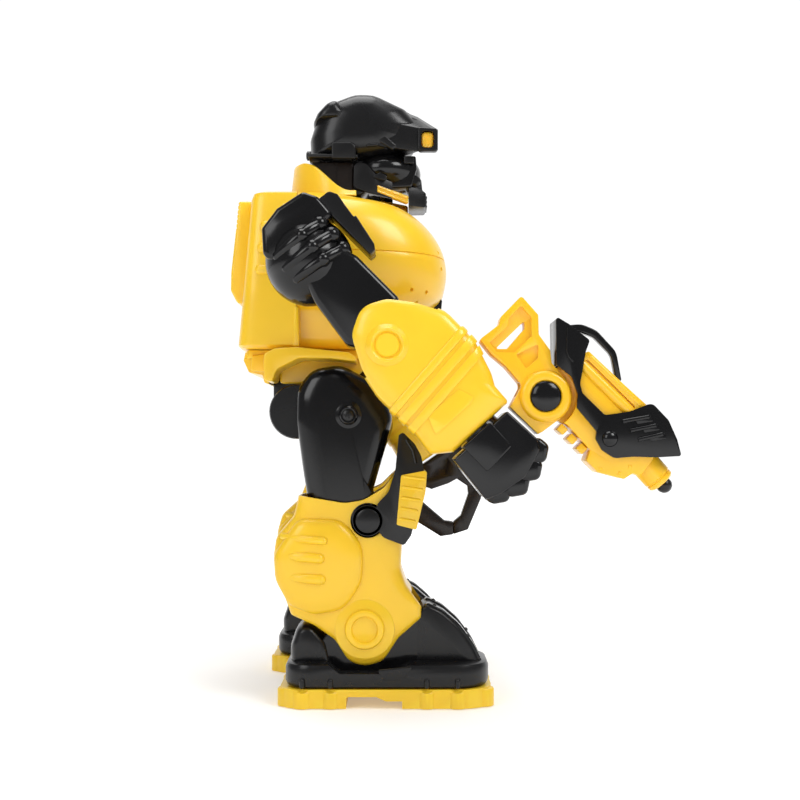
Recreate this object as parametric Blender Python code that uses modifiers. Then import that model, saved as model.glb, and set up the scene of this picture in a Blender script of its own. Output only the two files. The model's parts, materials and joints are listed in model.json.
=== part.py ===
"""Battery-powered walking toy robot, about 300 mm tall, modelled as an assembly of its real pieces.

Frame: +X is forward, +Y is the robot's left, +Z is up. The origin is on the ground under the
middle of the robot. Sizes in this file are in millimetres and are turned into metres where a mesh
is made. Side outlines are lists of (x, z, corner radius).
"""
import math

import bpy
import bmesh
from mathutils import Matrix, Vector

MM = 0.001
GAP = 0.3                      # clearance between pieces that touch
WALL = 1.8                     # moulded wall thickness
RIGHT, LEFT = -1, 1            # signs of the robot's two sides along Y

# Axes of the joints, as (x, z) in the side view
HIP = (-44.3, 136.0)
ANKLE = (-36.5, 36.0)
CRANK_LOBE = (-70.7, 138.4)    # round lobe of the right thigh, in the right leg's pose
KNEE = (-35.0, 86.8)
SHOULDER = (-60.9, 204.8)
ELBOW = (-25.5, 165.6)
WRIST = (15.5, 130.0)
BLASTER_HINGE = (44.5, 143.6)
CLAW_FRONT = (17.0, 106.5)
CLAW_REAR = (-9.0, 100.5)
MOTOR_AXIS = (-46.4, 151.0)
NECK_X = -45.0

# Distances of the limbs from the middle plane
LEG_Y = 42.0
ARM_Y = 81.0
SHOULDER_Y = 77.0

# Driving dimensions
STEP_BACK = 12.0               # the left foot stands this far behind the right one
LEFT_ARM_SWING = 8.2           # the left arm hangs this many degrees behind the right one
LEFT_GUARD_SWING = 7.0         # the left knee guard is tipped forward by this much
SHIN_HALF = 18.5
THIGH_HALF = 14.0
FOREARM_HALF = 16.0
FOOT_HALF = 23.5
SOLE_HEIGHT = 8.7
TORSO_SPLIT = -69.7            # the front and rear torso shells meet at this x
THIGH_SWING = 7.0              # each thigh swings this many degrees either side of its middle
FOREARM_DIRECTION = Vector((0.755, 0.0, -0.656))
MUZZLE_DIRECTION = Vector((0.673, 0.0, -0.739))
CRANK_TEETH, SMALL_TEETH, BIG_TEETH, PINION_TEETH = 18, 8, 20, 8
MODULE_SLOW, MODULE_FAST = 1.25, 0.90

YELLOW = ((0.90, 0.55, 0.02, 1.0), 0.30, 0.0)
BLACK_GLOSS = ((0.012, 0.012, 0.014, 1.0), 0.12, 0.0)
BLACK_SATIN = ((0.020, 0.020, 0.022, 1.0), 0.35, 0.0)
AMBER = ((0.95, 0.45, 0.03, 1.0), 0.15, 0.0)
STEEL = ((0.60, 0.60, 0.62, 1.0), 0.30, 1.0)
BOARD_GREEN = ((0.02, 0.16, 0.06, 1.0), 0.50, 0.0)
NYLON_WHITE = ((0.80, 0.79, 0.75, 1.0), 0.45, 0.0)


def clear_scene():
    for item in list(bpy.data.objects):
        bpy.data.objects.remove(item, do_unlink=True)


def new_collection(name):
    collection = bpy.data.collections.new(name)
    bpy.context.scene.collection.children.link(collection)
    return collection


clear_scene()
ROBOT = new_collection("walking_robot")
CUTTERS = new_collection("cutters")


# ---------------------------------------------------------------- leg and drive geometry

def turned_about(point, axis, degrees):
    """A side-view point after a swing about an axis; a positive swing lifts what is in front."""
    c, s = math.cos(math.radians(degrees)), math.sin(math.radians(degrees))
    x, z = point[0] - axis[0], point[1] - axis[1]
    return (axis[0] + x * c - z * s, axis[1] + x * s + z * c)


def direction_of(start, end):
    return math.degrees(math.atan2(end[1] - start[1], end[0] - start[0]))


def triangle_apex(base_a, base_b, side_a, side_b):
    """The point at side_a from base_a and side_b from base_b, to the left of the way from a to b."""
    a, b = Vector(base_a), Vector(base_b)
    base = (b - a).length
    along = (side_a ** 2 - side_b ** 2 + base ** 2) / (2 * base)
    up = math.sqrt(side_a ** 2 - along ** 2)
    unit = (b - a) / base
    return a + unit * along + Vector((-unit.y, unit.x)) * up


THIGH_LENGTH = math.dist(HIP, KNEE)
SHIN_LENGTH = math.dist(KNEE, ANKLE)
LEFT_ANKLE = (ANKLE[0] - STEP_BACK, ANKLE[1])
LEFT_KNEE = triangle_apex(HIP, LEFT_ANKLE, THIGH_LENGTH, SHIN_LENGTH)
LEFT_THIGH_TURN = direction_of(HIP, LEFT_KNEE) - direction_of(HIP, KNEE)
LEFT_SHIN_TURN = direction_of(LEFT_KNEE, LEFT_ANKLE) - direction_of(KNEE, ANKLE)
CRANK = turned_about(CRANK_LOBE, HIP, LEFT_THIGH_TURN / 2)
CRANK_ARM = math.dist(HIP, CRANK)
CRANK_THROW = CRANK_ARM * math.sin(math.radians(THIGH_SWING))
CRANK_PITCH, SMALL_PITCH = MODULE_SLOW * CRANK_TEETH / 2, MODULE_SLOW * SMALL_TEETH / 2
BIG_PITCH, PINION_PITCH = MODULE_FAST * BIG_TEETH / 2, MODULE_FAST * PINION_TEETH / 2
IDLER_AXIS = tuple(triangle_apex(CRANK, MOTOR_AXIS, CRANK_PITCH + SMALL_PITCH, BIG_PITCH + PINION_PITCH))


# ---------------------------------------------------------------- finishing helpers

def paint(piece, finish):
    """Give the piece a plain Principled material of its own."""
    colour, roughness, metallic = finish
    material = bpy.data.materials.new(piece.name + "_finish")
    material.use_nodes = True
    shader = material.node_tree.nodes["Principled BSDF"]
    shader.inputs["Base Color"].default_value = colour
    shader.inputs["Roughness"].default_value = roughness
    shader.inputs["Metallic"].default_value = metallic
    material.diffuse_color = colour
    piece.data.materials.clear()
    piece.data.materials.append(material)


def piece_from(bm, name, finish=None):
    """Turn a bmesh in millimetres into an object of the robot, or into a tool if it has no finish."""
    bmesh.ops.scale(bm, vec=(MM, MM, MM), verts=bm.verts)
    mesh = bpy.data.meshes.new(name)
    bm.to_mesh(mesh)
    bm.free()
    mesh.shade_smooth()
    mesh.set_sharp_from_angle(angle=math.radians(35))
    piece = bpy.data.objects.new(name, mesh)
    if finish is None:
        CUTTERS.objects.link(piece)
        piece.hide_render = True
        piece.display_type = "WIRE"
    else:
        ROBOT.objects.link(piece)
        paint(piece, finish)
    return piece


def bevel(piece, width, segments=1):
    modifier = piece.modifiers.new("Bevel", "BEVEL")
    modifier.width = width * MM
    modifier.segments = segments
    modifier.limit_method = "ANGLE"
    modifier.angle_limit = math.radians(40)
    modifier.harden_normals = False
    return piece


def boolean(piece, tool, operation):
    modifier = piece.modifiers.new(operation.title(), "BOOLEAN")
    modifier.operation = operation
    modifier.object = tool
    modifier.solver = "EXACT"


def cut(piece, *tools):
    for tool in tools:
        boolean(piece, tool, "DIFFERENCE")
    return piece


def join(piece, *tools):
    for tool in tools:
        boolean(piece, tool, "UNION")
    return piece


# ---------------------------------------------------------------- joint axes

def joint_empty(name, point, parent=None):
    """An empty on a joint's axis; everything that moves with the joint is parented to it."""
    empty = bpy.data.objects.new(name, None)
    empty.empty_display_size = 10 * MM
    ROBOT.objects.link(empty)
    empty.location = Vector(point) * MM
    if parent is not None:
        bpy.context.view_layer.update()
        empty.parent = parent
        empty.matrix_parent_inverse = parent.matrix_world.inverted()
    bpy.context.view_layer.update()
    return empty


def side_point(axis, y):
    return (axis[0], y, axis[1])


def attach(empty, *pieces):
    """Parent pieces and the tools of their Boolean modifiers, keeping them where they are."""
    bpy.context.view_layer.update()
    for piece in pieces:
        family = [piece]
        for modifier in piece.modifiers:
            if modifier.type == "BOOLEAN":
                family.append(modifier.object)
        for item in family:
            item.parent = empty
            item.matrix_parent_inverse = empty.matrix_world.inverted()


def swing(empty, degrees):
    """Turn an empty about its Y axis; a positive angle lifts what is in front of it."""
    empty.rotation_euler = (0.0, -math.radians(degrees), 0.0)
    bpy.context.view_layer.update()


# ---------------------------------------------------------------- shapes

def fillet(corners, step=60):
    """Round the corners of a closed outline of (a, b, radius), with a point every step degrees."""
    points = []
    count = len(corners)
    for index, (a, b, radius) in enumerate(corners):
        here = Vector((a, b))
        before = Vector(corners[index - 1][:2]) - here
        after = Vector(corners[(index + 1) % count][:2]) - here
        if radius <= 0:
            points.append(here)
            continue
        angle = before.angle(after)
        run = radius / math.tan(angle / 2)
        run = min(run, 0.48 * before.length, 0.48 * after.length)
        start = here + before.normalized() * run
        end = here + after.normalized() * run
        arc_radius = run * math.tan(angle / 2)
        centre = here + (before.normalized() + after.normalized()).normalized() * (
            math.hypot(arc_radius, run))
        turn = math.pi - angle
        pieces = max(1, math.ceil(math.degrees(turn) / step))
        first = start - centre
        sense = 1 if first.x * (end - centre).y - first.y * (end - centre).x > 0 else -1
        for k in range(pieces + 1):
            theta = sense * turn * k / pieces
            c, s = math.cos(theta), math.sin(theta)
            points.append(centre + Vector((first.x * c - first.y * s, first.x * s + first.y * c)))
    return points


def circle(axis, radius, count=16):
    """Outline of a circle, as corners without rounding."""
    corners = []
    for k in range(count):
        angle = 2 * math.pi * k / count
        corners.append((axis[0] + radius * math.cos(angle), axis[1] + radius * math.sin(angle), 0))
    return corners


def extrude_outline(name, corners, half, placement, finish):
    """Extrude a flat outline both ways by half, weld it and put it in place as a mesh."""
    curve = bpy.data.curves.new(name, "CURVE")
    curve.dimensions = "2D"
    curve.fill_mode = "BOTH"
    curve.extrude = half * MM
    points = fillet(corners)
    spline = curve.splines.new("POLY")
    spline.points.add(len(points) - 1)
    spline.use_cyclic_u = True
    for target, point in zip(spline.points, points):
        target.co = (point.x * MM, point.y * MM, 0.0, 1.0)
    outline = bpy.data.objects.new(name, curve)
    CUTTERS.objects.link(outline)
    bpy.context.view_layer.update()
    mesh = bpy.data.meshes.new_from_object(
        outline.evaluated_get(bpy.context.evaluated_depsgraph_get()))
    bpy.data.objects.remove(outline, do_unlink=True)
    bpy.data.curves.remove(curve)
    bm = bmesh.new()
    bm.from_mesh(mesh)
    bpy.data.meshes.remove(mesh)
    bmesh.ops.remove_doubles(bm, verts=bm.verts, dist=0.00001)
    bmesh.ops.dissolve_limit(bm, angle_limit=math.radians(0.5), verts=bm.verts, edges=bm.edges)
    bmesh.ops.scale(bm, vec=(1 / MM, 1 / MM, 1 / MM), verts=bm.verts)
    bmesh.ops.transform(bm, matrix=placement, verts=bm.verts)
    bmesh.ops.recalc_face_normals(bm, faces=bm.faces)
    return piece_from(bm, name, finish)


def slab(name, corners, y_from, y_to, finish=None):
    """A side outline extruded across the robot between two values of y."""
    middle = (y_from + y_to) / 2
    placement = Matrix.Translation((0, middle, 0)) @ Matrix.Rotation(math.radians(90), 4, "X")
    return extrude_outline(name, corners, abs(y_to - y_from) / 2, placement, finish)


def plan_slab(name, corners, z_from, z_to, finish=None):
    """A plan outline extruded upwards between two heights."""
    placement = Matrix.Translation((0, 0, (z_from + z_to) / 2))
    return extrude_outline(name, corners, abs(z_to - z_from) / 2, placement, finish)


def block(name, low, high, finish=None):
    bm = bmesh.new()
    bmesh.ops.create_cube(bm, size=1.0)
    size = Vector(high) - Vector(low)
    centre = (Vector(high) + Vector(low)) / 2
    bmesh.ops.scale(bm, vec=size, verts=bm.verts)
    bmesh.ops.translate(bm, vec=centre, verts=bm.verts)
    return piece_from(bm, name, finish)


def rod(name, start, end, radius, finish=None, sides=14):
    """A cylinder between two points."""
    start, end = Vector(start), Vector(end)
    along = end - start
    bm = bmesh.new()
    bmesh.ops.create_cone(bm, cap_ends=True, segments=sides, radius1=radius, radius2=radius,
                          depth=along.length)
    turn = along.to_track_quat("Z", "Y").to_matrix().to_4x4()
    bmesh.ops.transform(bm, matrix=Matrix.Translation((start + end) / 2) @ turn, verts=bm.verts)
    return piece_from(bm, name, finish)


def ball(name, centre, radius, finish=None):
    bm = bmesh.new()
    bmesh.ops.create_uvsphere(bm, u_segments=12, v_segments=8, radius=radius)
    bmesh.ops.translate(bm, vec=centre, verts=bm.verts)
    return piece_from(bm, name, finish)


def turned(name, profile, point, direction, finish, steps=14):
    """A turned piece: profile points (radius, height) run down its outer side, top to bottom."""
    bm = bmesh.new()
    previous = None
    for radius, height in profile:
        vertex = bm.verts.new((radius, 0.0, height))
        if previous is not None:
            bm.edges.new((previous, vertex))
        previous = vertex
    piece = piece_from(bm, name, finish)
    piece.location = Vector(point) * MM
    piece.rotation_euler = Vector(direction).to_track_quat("Z", "Y").to_euler()
    screw = piece.modifiers.new("Screw", "SCREW")
    screw.steps = steps
    screw.render_steps = steps
    screw.use_merge_vertices = True
    screw.merge_threshold = 0.00001
    return piece


def add_solidify(piece, wall):
    modifier = piece.modifiers.new("Solidify", "SOLIDIFY")
    modifier.thickness = wall * MM
    modifier.offset = -1.0
    modifier.use_even_offset = True
    modifier.thickness_clamp = 1.0


def skin_rows(bm, rows, closed_ring):
    """Quads between neighbouring rows of vertices."""
    count = len(rows[0])
    last = count if closed_ring else count - 1
    for lower, upper in zip(rows, rows[1:]):
        for k in range(last):
            nxt = (k + 1) % count
            bm.faces.new((lower[k], lower[nxt], upper[nxt], upper[k]))


def half_shell(name, corners, y_seam, y_face, finish, fullness=0.4, wall=WALL, rings=3):
    """One moulded half: a side outline that bulges from its seam at y_seam to a face at y_face.

    The wall rises straight from the seam, then rounds over towards a flat face; it is hollow.
    """
    outline = fillet(corners, 95)
    centre = sum(outline, Vector((0, 0))) / len(outline)
    levels = [(1.0, 0.0), (1.0, 0.15)]
    for k in range(1, rings + 1):
        angle = math.radians(76) * k / rings
        levels.append((math.cos(angle) ** fullness, math.sin(angle) ** fullness))
    top = levels[-1][1]
    bm = bmesh.new()
    rows = []
    for shrink, rise in levels:
        y = y_seam + (y_face - y_seam) * rise / top
        spots = [centre + (point - centre) * shrink for point in outline]
        rows.append([bm.verts.new((spot.x, y, spot.y)) for spot in spots])
    skin_rows(bm, rows, True)
    cap = bm.faces.new(rows[-1])
    bmesh.ops.recalc_face_normals(bm, faces=bm.faces)
    if cap.normal.y * (y_face - y_seam) < 0:
        bmesh.ops.reverse_faces(bm, faces=bm.faces)
    piece = piece_from(bm, name, finish)
    add_solidify(piece, wall)
    return piece


def upright_shell(name, sections, x_seam, forward, squareness, finish, wall, columns=10):
    """A shell open at its frontal seam: sections (z, x reach, half width), bottom to top.

    Each section is a superellipse on one side of the seam plane; forward is 1 or -1.
    """
    bm = bmesh.new()
    rows = []
    power = 2.0 / squareness
    for z, reach, half_width in sections:
        row = []
        for k in range(columns + 1):
            angle = math.pi * (k / columns - 0.5)
            out = math.cos(angle) ** power if 0 < k < columns else 0.0
            across = math.copysign(abs(math.sin(angle)) ** power, math.sin(angle))
            row.append(bm.verts.new((x_seam + (reach - x_seam) * out, half_width * across, z)))
        rows.append(row)
    skin_rows(bm, rows, False)
    bm.faces.new(rows[0])
    bm.faces.new(rows[-1])
    bmesh.ops.recalc_face_normals(bm, faces=bm.faces)
    bm.faces.ensure_lookup_table()
    middle = bm.faces[(columns * (len(rows) // 2)) + columns // 2]
    if middle.normal.x * forward < 0:
        bmesh.ops.reverse_faces(bm, faces=bm.faces)
    piece = piece_from(bm, name, finish)
    add_solidify(piece, wall)
    return piece


def gear_outline(axis, pitch_radius, teeth, phase):
    """Outline of a spur gear with plain tapered teeth that leave backlash in the mesh."""
    pitch_angle = 2 * math.pi / teeth
    module = 2 * pitch_radius / teeth
    corners = []
    for tooth in range(teeth):
        middle = phase + tooth * pitch_angle
        for offset, radius in ((-0.28, pitch_radius - 1.1 * module), (-0.12, pitch_radius + 0.7 * module),
                               (0.12, pitch_radius + 0.7 * module), (0.28, pitch_radius - 1.1 * module)):
            angle = middle + offset * pitch_angle
            corners.append((axis[0] + radius * math.cos(angle), axis[1] + radius * math.sin(angle), 0))
    return corners


def y_rod(name, axis, y_from, y_to, radius, finish=None, sides=14):
    return rod(name, side_point(axis, y_from), side_point(axis, y_to), radius, finish, sides)


# ---------------------------------------------------------------- torso

def torso_front():
    """Chest and belly shell, with holes for the neck and the shoulder pegs."""
    sections = [(169.0, -20.0, 34.0), (172.0, -15.0, 37.0), (186.0, -9.0, 40.0), (190.0, -5.0, 44.0),
                (196.5, 1.0, 48.0), (209.5, 3.8, 50.5), (221.5, 1.0, 50.5), (232.0, -6.5, 49.0),
                (240.0, -16.0, 45.0), (244.2, -30.0, 39.0), (246.4, -42.0, 31.0)]
    shell = upright_shell("torso_front_shell", sections, TORSO_SPLIT, 1, 3.2, YELLOW, 2.0)
    neck = rod("neck_hole_tool", (NECK_X, 0, 235), (NECK_X, 0, 255), 9.0)
    pegs = y_rod("shoulder_hole_tool", SHOULDER, -60, 60, 6.5)
    panel = block("abdomen_hole_tool", (-20, -10.5, 178), (8, 10.5, 198))
    return cut(shell, neck, pegs, panel)


def torso_rear():
    """Square backpack shell with the battery opening and the switch slot."""
    sections = [(169.0, -98.0, 42.0), (170.5, -99.4, 44.0), (189.0, -97.6, 44.5), (241.0, -93.0, 43.5),
                (243.6, -92.0, 42.5), (244.8, -89.5, 40.0)]
    shell = upright_shell("torso_rear_shell", sections, TORSO_SPLIT - GAP, -1, 7.0, YELLOW, 2.0)
    bay = block("battery_bay_tool", (-110, -23.5, 194), (-88, 23.5, 240.5))
    slot = block("switch_slot_tool", (-110, 8.9, 177.2), (-90, 19.1, 183.8))
    pegs = y_rod("shoulder_relief_tool", SHOULDER, -60, 60, 10.0)
    return cut(shell, bay, slot, pegs)


def battery_door():
    corners = [(-97.9, 191.5, 0), (-100.6, 191.7, 1.5), (-104.3, 198.8, 3), (-104.1, 208, 4),
               (-101.6, 230.2, 4), (-99.2, 243.2, 1), (-93.7, 243.2, 0)]
    shifted = [(x - 0.4, z, r) for x, z, r in corners]
    return bevel(slab("battery_door", shifted, -25.5, 25.5, YELLOW), 0.8)


def batteries():
    cells = []
    profile = [(0, 50.5), (2.7, 50.5), (2.7, 49.3), (6.8, 49.3), (7.2, 48.8), (7.2, 0.4), (6.8, 0),
               (0, 0)]
    for number, y in enumerate((-15.2, 0.0, 15.2), start=1):
        cells.append(turned(f"battery_{number}", profile, (-86.0, y, 188.5), (0, 0, 1), STEEL, 12))
    return cells


def collar():
    """Raised wall round the back of the neck, high behind and low at its two front ends."""
    columns = 14
    bm = bmesh.new()
    rows = []
    for level in (0.0, 0.5, 1.0):
        row = []
        for k in range(columns + 1):
            angle = math.pi * (0.5 + k / columns)
            behind = max(0.0, -math.cos(angle))
            height = 3.0 + 15.0 * min(1.0, 1.15 * behind) ** 1.5
            lean = 1.0 - 0.06 * level
            row.append(bm.verts.new((-44.5 + 32.5 * lean * math.cos(angle), 30.0 * lean * math.sin(angle),
                                     247.4 + height * level)))
        rows.append(row)
    skin_rows(bm, rows, False)
    bmesh.ops.recalc_face_normals(bm, faces=bm.faces)
    bm.faces.ensure_lookup_table()
    if bm.faces[columns // 2].normal.x > 0:
        bmesh.ops.reverse_faces(bm, faces=bm.faces)
    piece = piece_from(bm, "collar_ring", YELLOW)
    add_solidify(piece, 2.6)
    return piece


def torso_contents():
    board = bevel(block("circuit_board", (-63.0, -24, 196), (-61.4, 24, 236), BOARD_GREEN), 0.3, 1)
    speaker = turned("speaker", [(0, 9), (8, 9), (8, 5), (14, 2), (14, 0), (0, 0)],
                     (-24.0, 0, 214.0), (-1, 0, 0), BLACK_SATIN)
    corners = [(-13.8, 178.5, 1), (-4.5, 180, 2), (1.0, 190, 2), (1.6, 196, 1), (-1.5, 197.6, 0.5),
               (-12, 197.6, 1)]
    panel = slab("abdomen_panel", corners, -10, 10, BLACK_SATIN)
    switch = block("power_switch", (-101.5, 9.4, 178), (-95.0, 14.4, 183), BLACK_SATIN)
    return [board, speaker, panel, bevel(switch, 0.5, 1)]


# ---------------------------------------------------------------- pelvis and drive

def pelvis():
    """Plate under the torso with hip skirts over the thighs and a stepped tail."""
    plate = plan_slab("pelvis_shell", [(-96.5, -30, 4), (-20, -30, 10), (-20, 30, 10), (-96.5, 30, 4)],
                      164.6, 168.6, YELLOW)
    tail = slab("tail_tool", [(-96.8, 167.5, 0), (-97.8, 164, 1), (-95, 158, 1), (-88.2, 156.6, 0),
                              (-87.6, 152.6, 1),
                              (-85.2, 152.2, 0), (-85.2, 167.5, 0)], -26, 26)
    skirt = slab("skirt_tool", [(-84.5, 165, 1), (-79.7, 166.8, 1), (-69.5, 168.2, 1), (-44.3, 165.8, 1),
                                (-42, 162.5, 1), (-53.3, 161.6, 1), (-70, 162.2, 1),
                                (-82, 161.5, 1)], -50, 50)
    opening = block("gearbox_relief_tool", (-84.9, -21, 150), (-27.6, 21, 164.6))
    return cut(join(plate, tail, skirt), opening)


def gearbox_case():
    """Open-topped gearbox that carries the hip axle and the crank shaft."""
    bm = bmesh.new()
    bmesh.ops.create_cube(bm, size=1.0)
    low, high = Vector((-84.4, -20.5, 120.5)), Vector((-28.0, 20.5, 164.2))
    bmesh.ops.scale(bm, vec=high - low, verts=bm.verts)
    bmesh.ops.translate(bm, vec=(high + low) / 2, verts=bm.verts)
    upright = [e for e in bm.edges if abs(e.verts[0].co.z - e.verts[1].co.z) < 1
               and abs(e.verts[0].co.y - e.verts[1].co.y) > 1 and e.verts[0].co.z < 130]
    bmesh.ops.bevel(bm, geom=upright, offset=9.0, segments=3, affect="EDGES", profile=0.5)
    top = [f for f in bm.faces if f.normal.z > 0.9]
    bmesh.ops.delete(bm, geom=top, context="FACES_ONLY")
    case = piece_from(bm, "gearbox_case", BLACK_SATIN)
    add_solidify(case, 1.5)
    return cut(case, y_rod("crank_hole_tool", CRANK, -30, 30, 3.5),
               y_rod("hip_hole_tool", HIP, -30, 30, 2.8))


def mesh_phase(driver, driver_phase, driver_teeth, driven, driven_teeth):
    """Phase that puts a gap of the driven gear where the driver's tooth points."""
    towards = math.atan2(driven[1] - driver[1], driven[0] - driver[0])
    offset = (towards - driver_phase) % (2 * math.pi / driver_teeth)
    back = towards + math.pi + offset * driver_teeth / driven_teeth
    return back + math.pi / driven_teeth


def drive():
    """Motor, reduction gears and the crank shaft that rocks the legs."""
    motor = turned("motor", [(0, 25), (2.2, 25), (2.2, 23.8), (8, 23.8), (8, 0), (3, 0), (3, -1),
                             (0, -1)],
                   side_point(MOTOR_AXIS, -17.5), (0, 1, 0), STEEL)
    pinion = slab("motor_pinion", gear_outline(MOTOR_AXIS, PINION_PITCH, PINION_TEETH, 0.0), 11.6, 15.2,
                  NYLON_WHITE)
    join(pinion, y_rod("pinion_stub_tool", MOTOR_AXIS, 8.2, 12, 1.0, None, 12))
    big_phase = mesh_phase(MOTOR_AXIS, 0.0, PINION_TEETH, IDLER_AXIS, BIG_TEETH)
    idler = slab("intermediate_gear", gear_outline(IDLER_AXIS, BIG_PITCH, BIG_TEETH, big_phase), 12.0,
                 14.6, NYLON_WHITE)
    join(idler, slab("small_gear_tool", gear_outline(IDLER_AXIS, SMALL_PITCH, SMALL_TEETH, 0.1), 7.2,
                     12.3),
         y_rod("idler_pin_tool", IDLER_AXIS, 5.5, 17.5, 1.3, None, 12))
    crank_phase = mesh_phase(IDLER_AXIS, 0.1, SMALL_TEETH, CRANK, CRANK_TEETH)
    shaft = slab("crank_shaft", gear_outline(CRANK, CRANK_PITCH, CRANK_TEETH, crank_phase), 7.6, 10.8,
                 NYLON_WHITE)
    join(shaft, y_rod("crank_rod_tool", CRANK, -25, 25, 3.0))
    drop = CRANK_ARM * math.sin(math.radians(LEFT_THIGH_TURN / 2))
    phase = math.asin(drop / CRANK_THROW)
    for side in (RIGHT, LEFT):
        pin = (CRANK[0] - side * CRANK_THROW * math.cos(phase),
               CRANK[1] - side * CRANK_THROW * math.sin(phase))
        join(shaft, y_rod("crank_disc_tool", CRANK, side * 22.0, side * 26.8, 8.5),
             y_rod("crank_pin_tool", pin, side * 26.0, side * 30.2, 2.0, None, 12))
    axle = y_rod("hip_axle", HIP, -58.3, 58.3, 2.4, STEEL, 16)
    return [motor, pinion, idler, shaft, axle]


# ---------------------------------------------------------------- head

def helmet():
    """Crested skull with a long brow box that ends in the lamp frame."""
    corners = [(-65.5, 266, 2), (-66, 277, 4), (-62.5, 288, 4), (-55.5, 295.5, 6), (-43, 301.4, 12),
               (-33, 301.2, 12), (-16.7, 294, 6), (-5, 287, 2), (-13, 275, 2), (-25, 269, 3),
               (-42, 266, 2)]
    half = half_shell("helmet_shell", corners, 0.0, -24.0, BLACK_SATIN, 0.5)
    mirror = half.modifiers.new("Mirror", "MIRROR")
    mirror.use_axis = (False, True, False)
    mirror.merge_threshold = 0.00002
    half.modifiers.move(1, 0)
    brow = slab("brow_tool", [(-44, 285, 4), (-30, 289, 3), (-4, 286, 2), (-0.6, 284, 1),
                              (-1.2, 270, 1), (-11, 269.2, 1),
                              (-26, 271, 2), (-40, 278, 3)], -21.5, 21.5)
    hollow = block("neck_tool", (-60, -14, 255), (-26, 14, 272))
    slot = block("lamp_slot_tool", (-9.0, -30, 270.8), (-3.0, 30, 279.2))
    return cut(join(half, brow), hollow, slot)


def head_parts():
    lens = bevel(block("lamp_lens", (-8.6, -20.6, 271.2), (-3.4, 20.6, 278.8), AMBER), 0.8)
    face = slab("face_mask", [(-62, 265.3, 1), (-42, 265.3, 0), (-26, 268.0, 0), (-12, 268.8, 1),
                              (-9.3, 262, 4), (-12.5, 254, 2),
                              (-14, 251.6, 1), (-36, 251.6, 1), (-40, 247.6, 1),
                              (-60, 247.6, 2)], -16.5, 16.5, BLACK_GLOSS)
    join(face, rod("neck_post_tool", (NECK_X, 0, 240), (NECK_X, 0, 249), 8.4))
    jaw_corners = [(-43, 263, 4), (-37, 262, 3), (-31, 256, 2), (-14.5, 251.6, 1), (-6.6, 250.6, 1),
                   (-6.6, 242.2, 1), (-14, 242.6, 1), (-36, 247.9, 1), (-43, 250, 2)]
    jaw = slab("jaw_guard", jaw_corners, -19.8, 19.8, BLACK_SATIN)
    room = block("jaw_room_tool", (-50, -16.8, 240), (-13.0, 16.8, 270))
    cut(jaw, room, slab("mouth_seat_tool", [(-32.4, 253.6, 0), (-14.0, 248.8, 0), (-14.0, 242.9, 0),
                                            (-32.4, 248.0, 0)], -30, 30))
    mouth = slab("mouth_grille", [(-31.8, 252.9, 0.5), (-14.6, 248.3, 0.5), (-14.6, 243.4, 0.5),
                                  (-31.8, 248.3, 0.5)],
                 -20.2, 20.2, AMBER)
    cut(mouth, slab("mouth_room_tool", [(-40, 262, 0), (-20.5, 262, 0), (-20.5, 240, 0), (-40, 240, 0)],
                    -17.1, 17.1))
    return [lens, face, jaw, mouth]


# ---------------------------------------------------------------- arms

def along_arm(u, v):
    """Side-view point at u along the upper arm from the shoulder and v across it, towards the front."""
    direction = (Vector(ELBOW) - Vector(SHOULDER)).normalized()
    across = Vector((-direction.y, direction.x))
    return Vector(SHOULDER) + direction * u + across * v


def upper_arm_half(name, side, front):
    """Front or rear half of the upper arm: a ball-like shoulder that narrows towards the elbow."""
    ball_radius, neck_half, end = 20.2, 12.6, 40.0
    inset = ARM_Y - SHOULDER_Y
    outline = []
    for k in range(9):
        angle = math.radians(62 + 236 * k / 8)
        outline.append((ball_radius * math.cos(angle), ball_radius * math.sin(angle)))
    outline += [(22, inset - neck_half - 1), (end, inset - neck_half), (end, inset + neck_half),
                (22, inset + neck_half + 1)]
    bm = bmesh.new()
    rows = []
    for shrink, rise in ((1.0, 0.0), (1.0, 0.12), (0.95, 0.52), (0.82, 0.79), (0.62, 0.94), (0.35, 1.0)):
        row = []
        for u, w in outline:
            place = along_arm(9 + (u - 9) * shrink, front * (0.15 + rise * 17.5))
            row.append(bm.verts.new((place.x, side * (SHOULDER_Y + w * shrink), place.y)))
        rows.append(row)
    skin_rows(bm, rows, True)
    cap = bm.faces.new(rows[-1])
    bmesh.ops.recalc_face_normals(bm, faces=bm.faces)
    outward = along_arm(0, front) - Vector(SHOULDER)
    if cap.normal.x * outward.x + cap.normal.z * outward.y < 0:
        bmesh.ops.reverse_faces(bm, faces=bm.faces)
    piece = piece_from(bm, name, BLACK_GLOSS)
    add_solidify(piece, WALL)
    return cut(piece, y_rod("peg_bore_tool", SHOULDER, side * 50, side * 62.5, 6.5))


def elbow_tongue_tool(side):
    """Flat tongue from inside the rear half to the elbow."""
    corners = []
    for u, v in ((24, -14), (24, -1.5), (43, -1.5), (48, 6), (60, 7), (60, -7), (48, -9), (40, -13)):
        place = along_arm(u, v)
        corners.append((place.x, place.y, 2))
    return slab("elbow_tongue_tool", corners, side * (ARM_Y - 6), side * (ARM_Y + 6))


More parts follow.
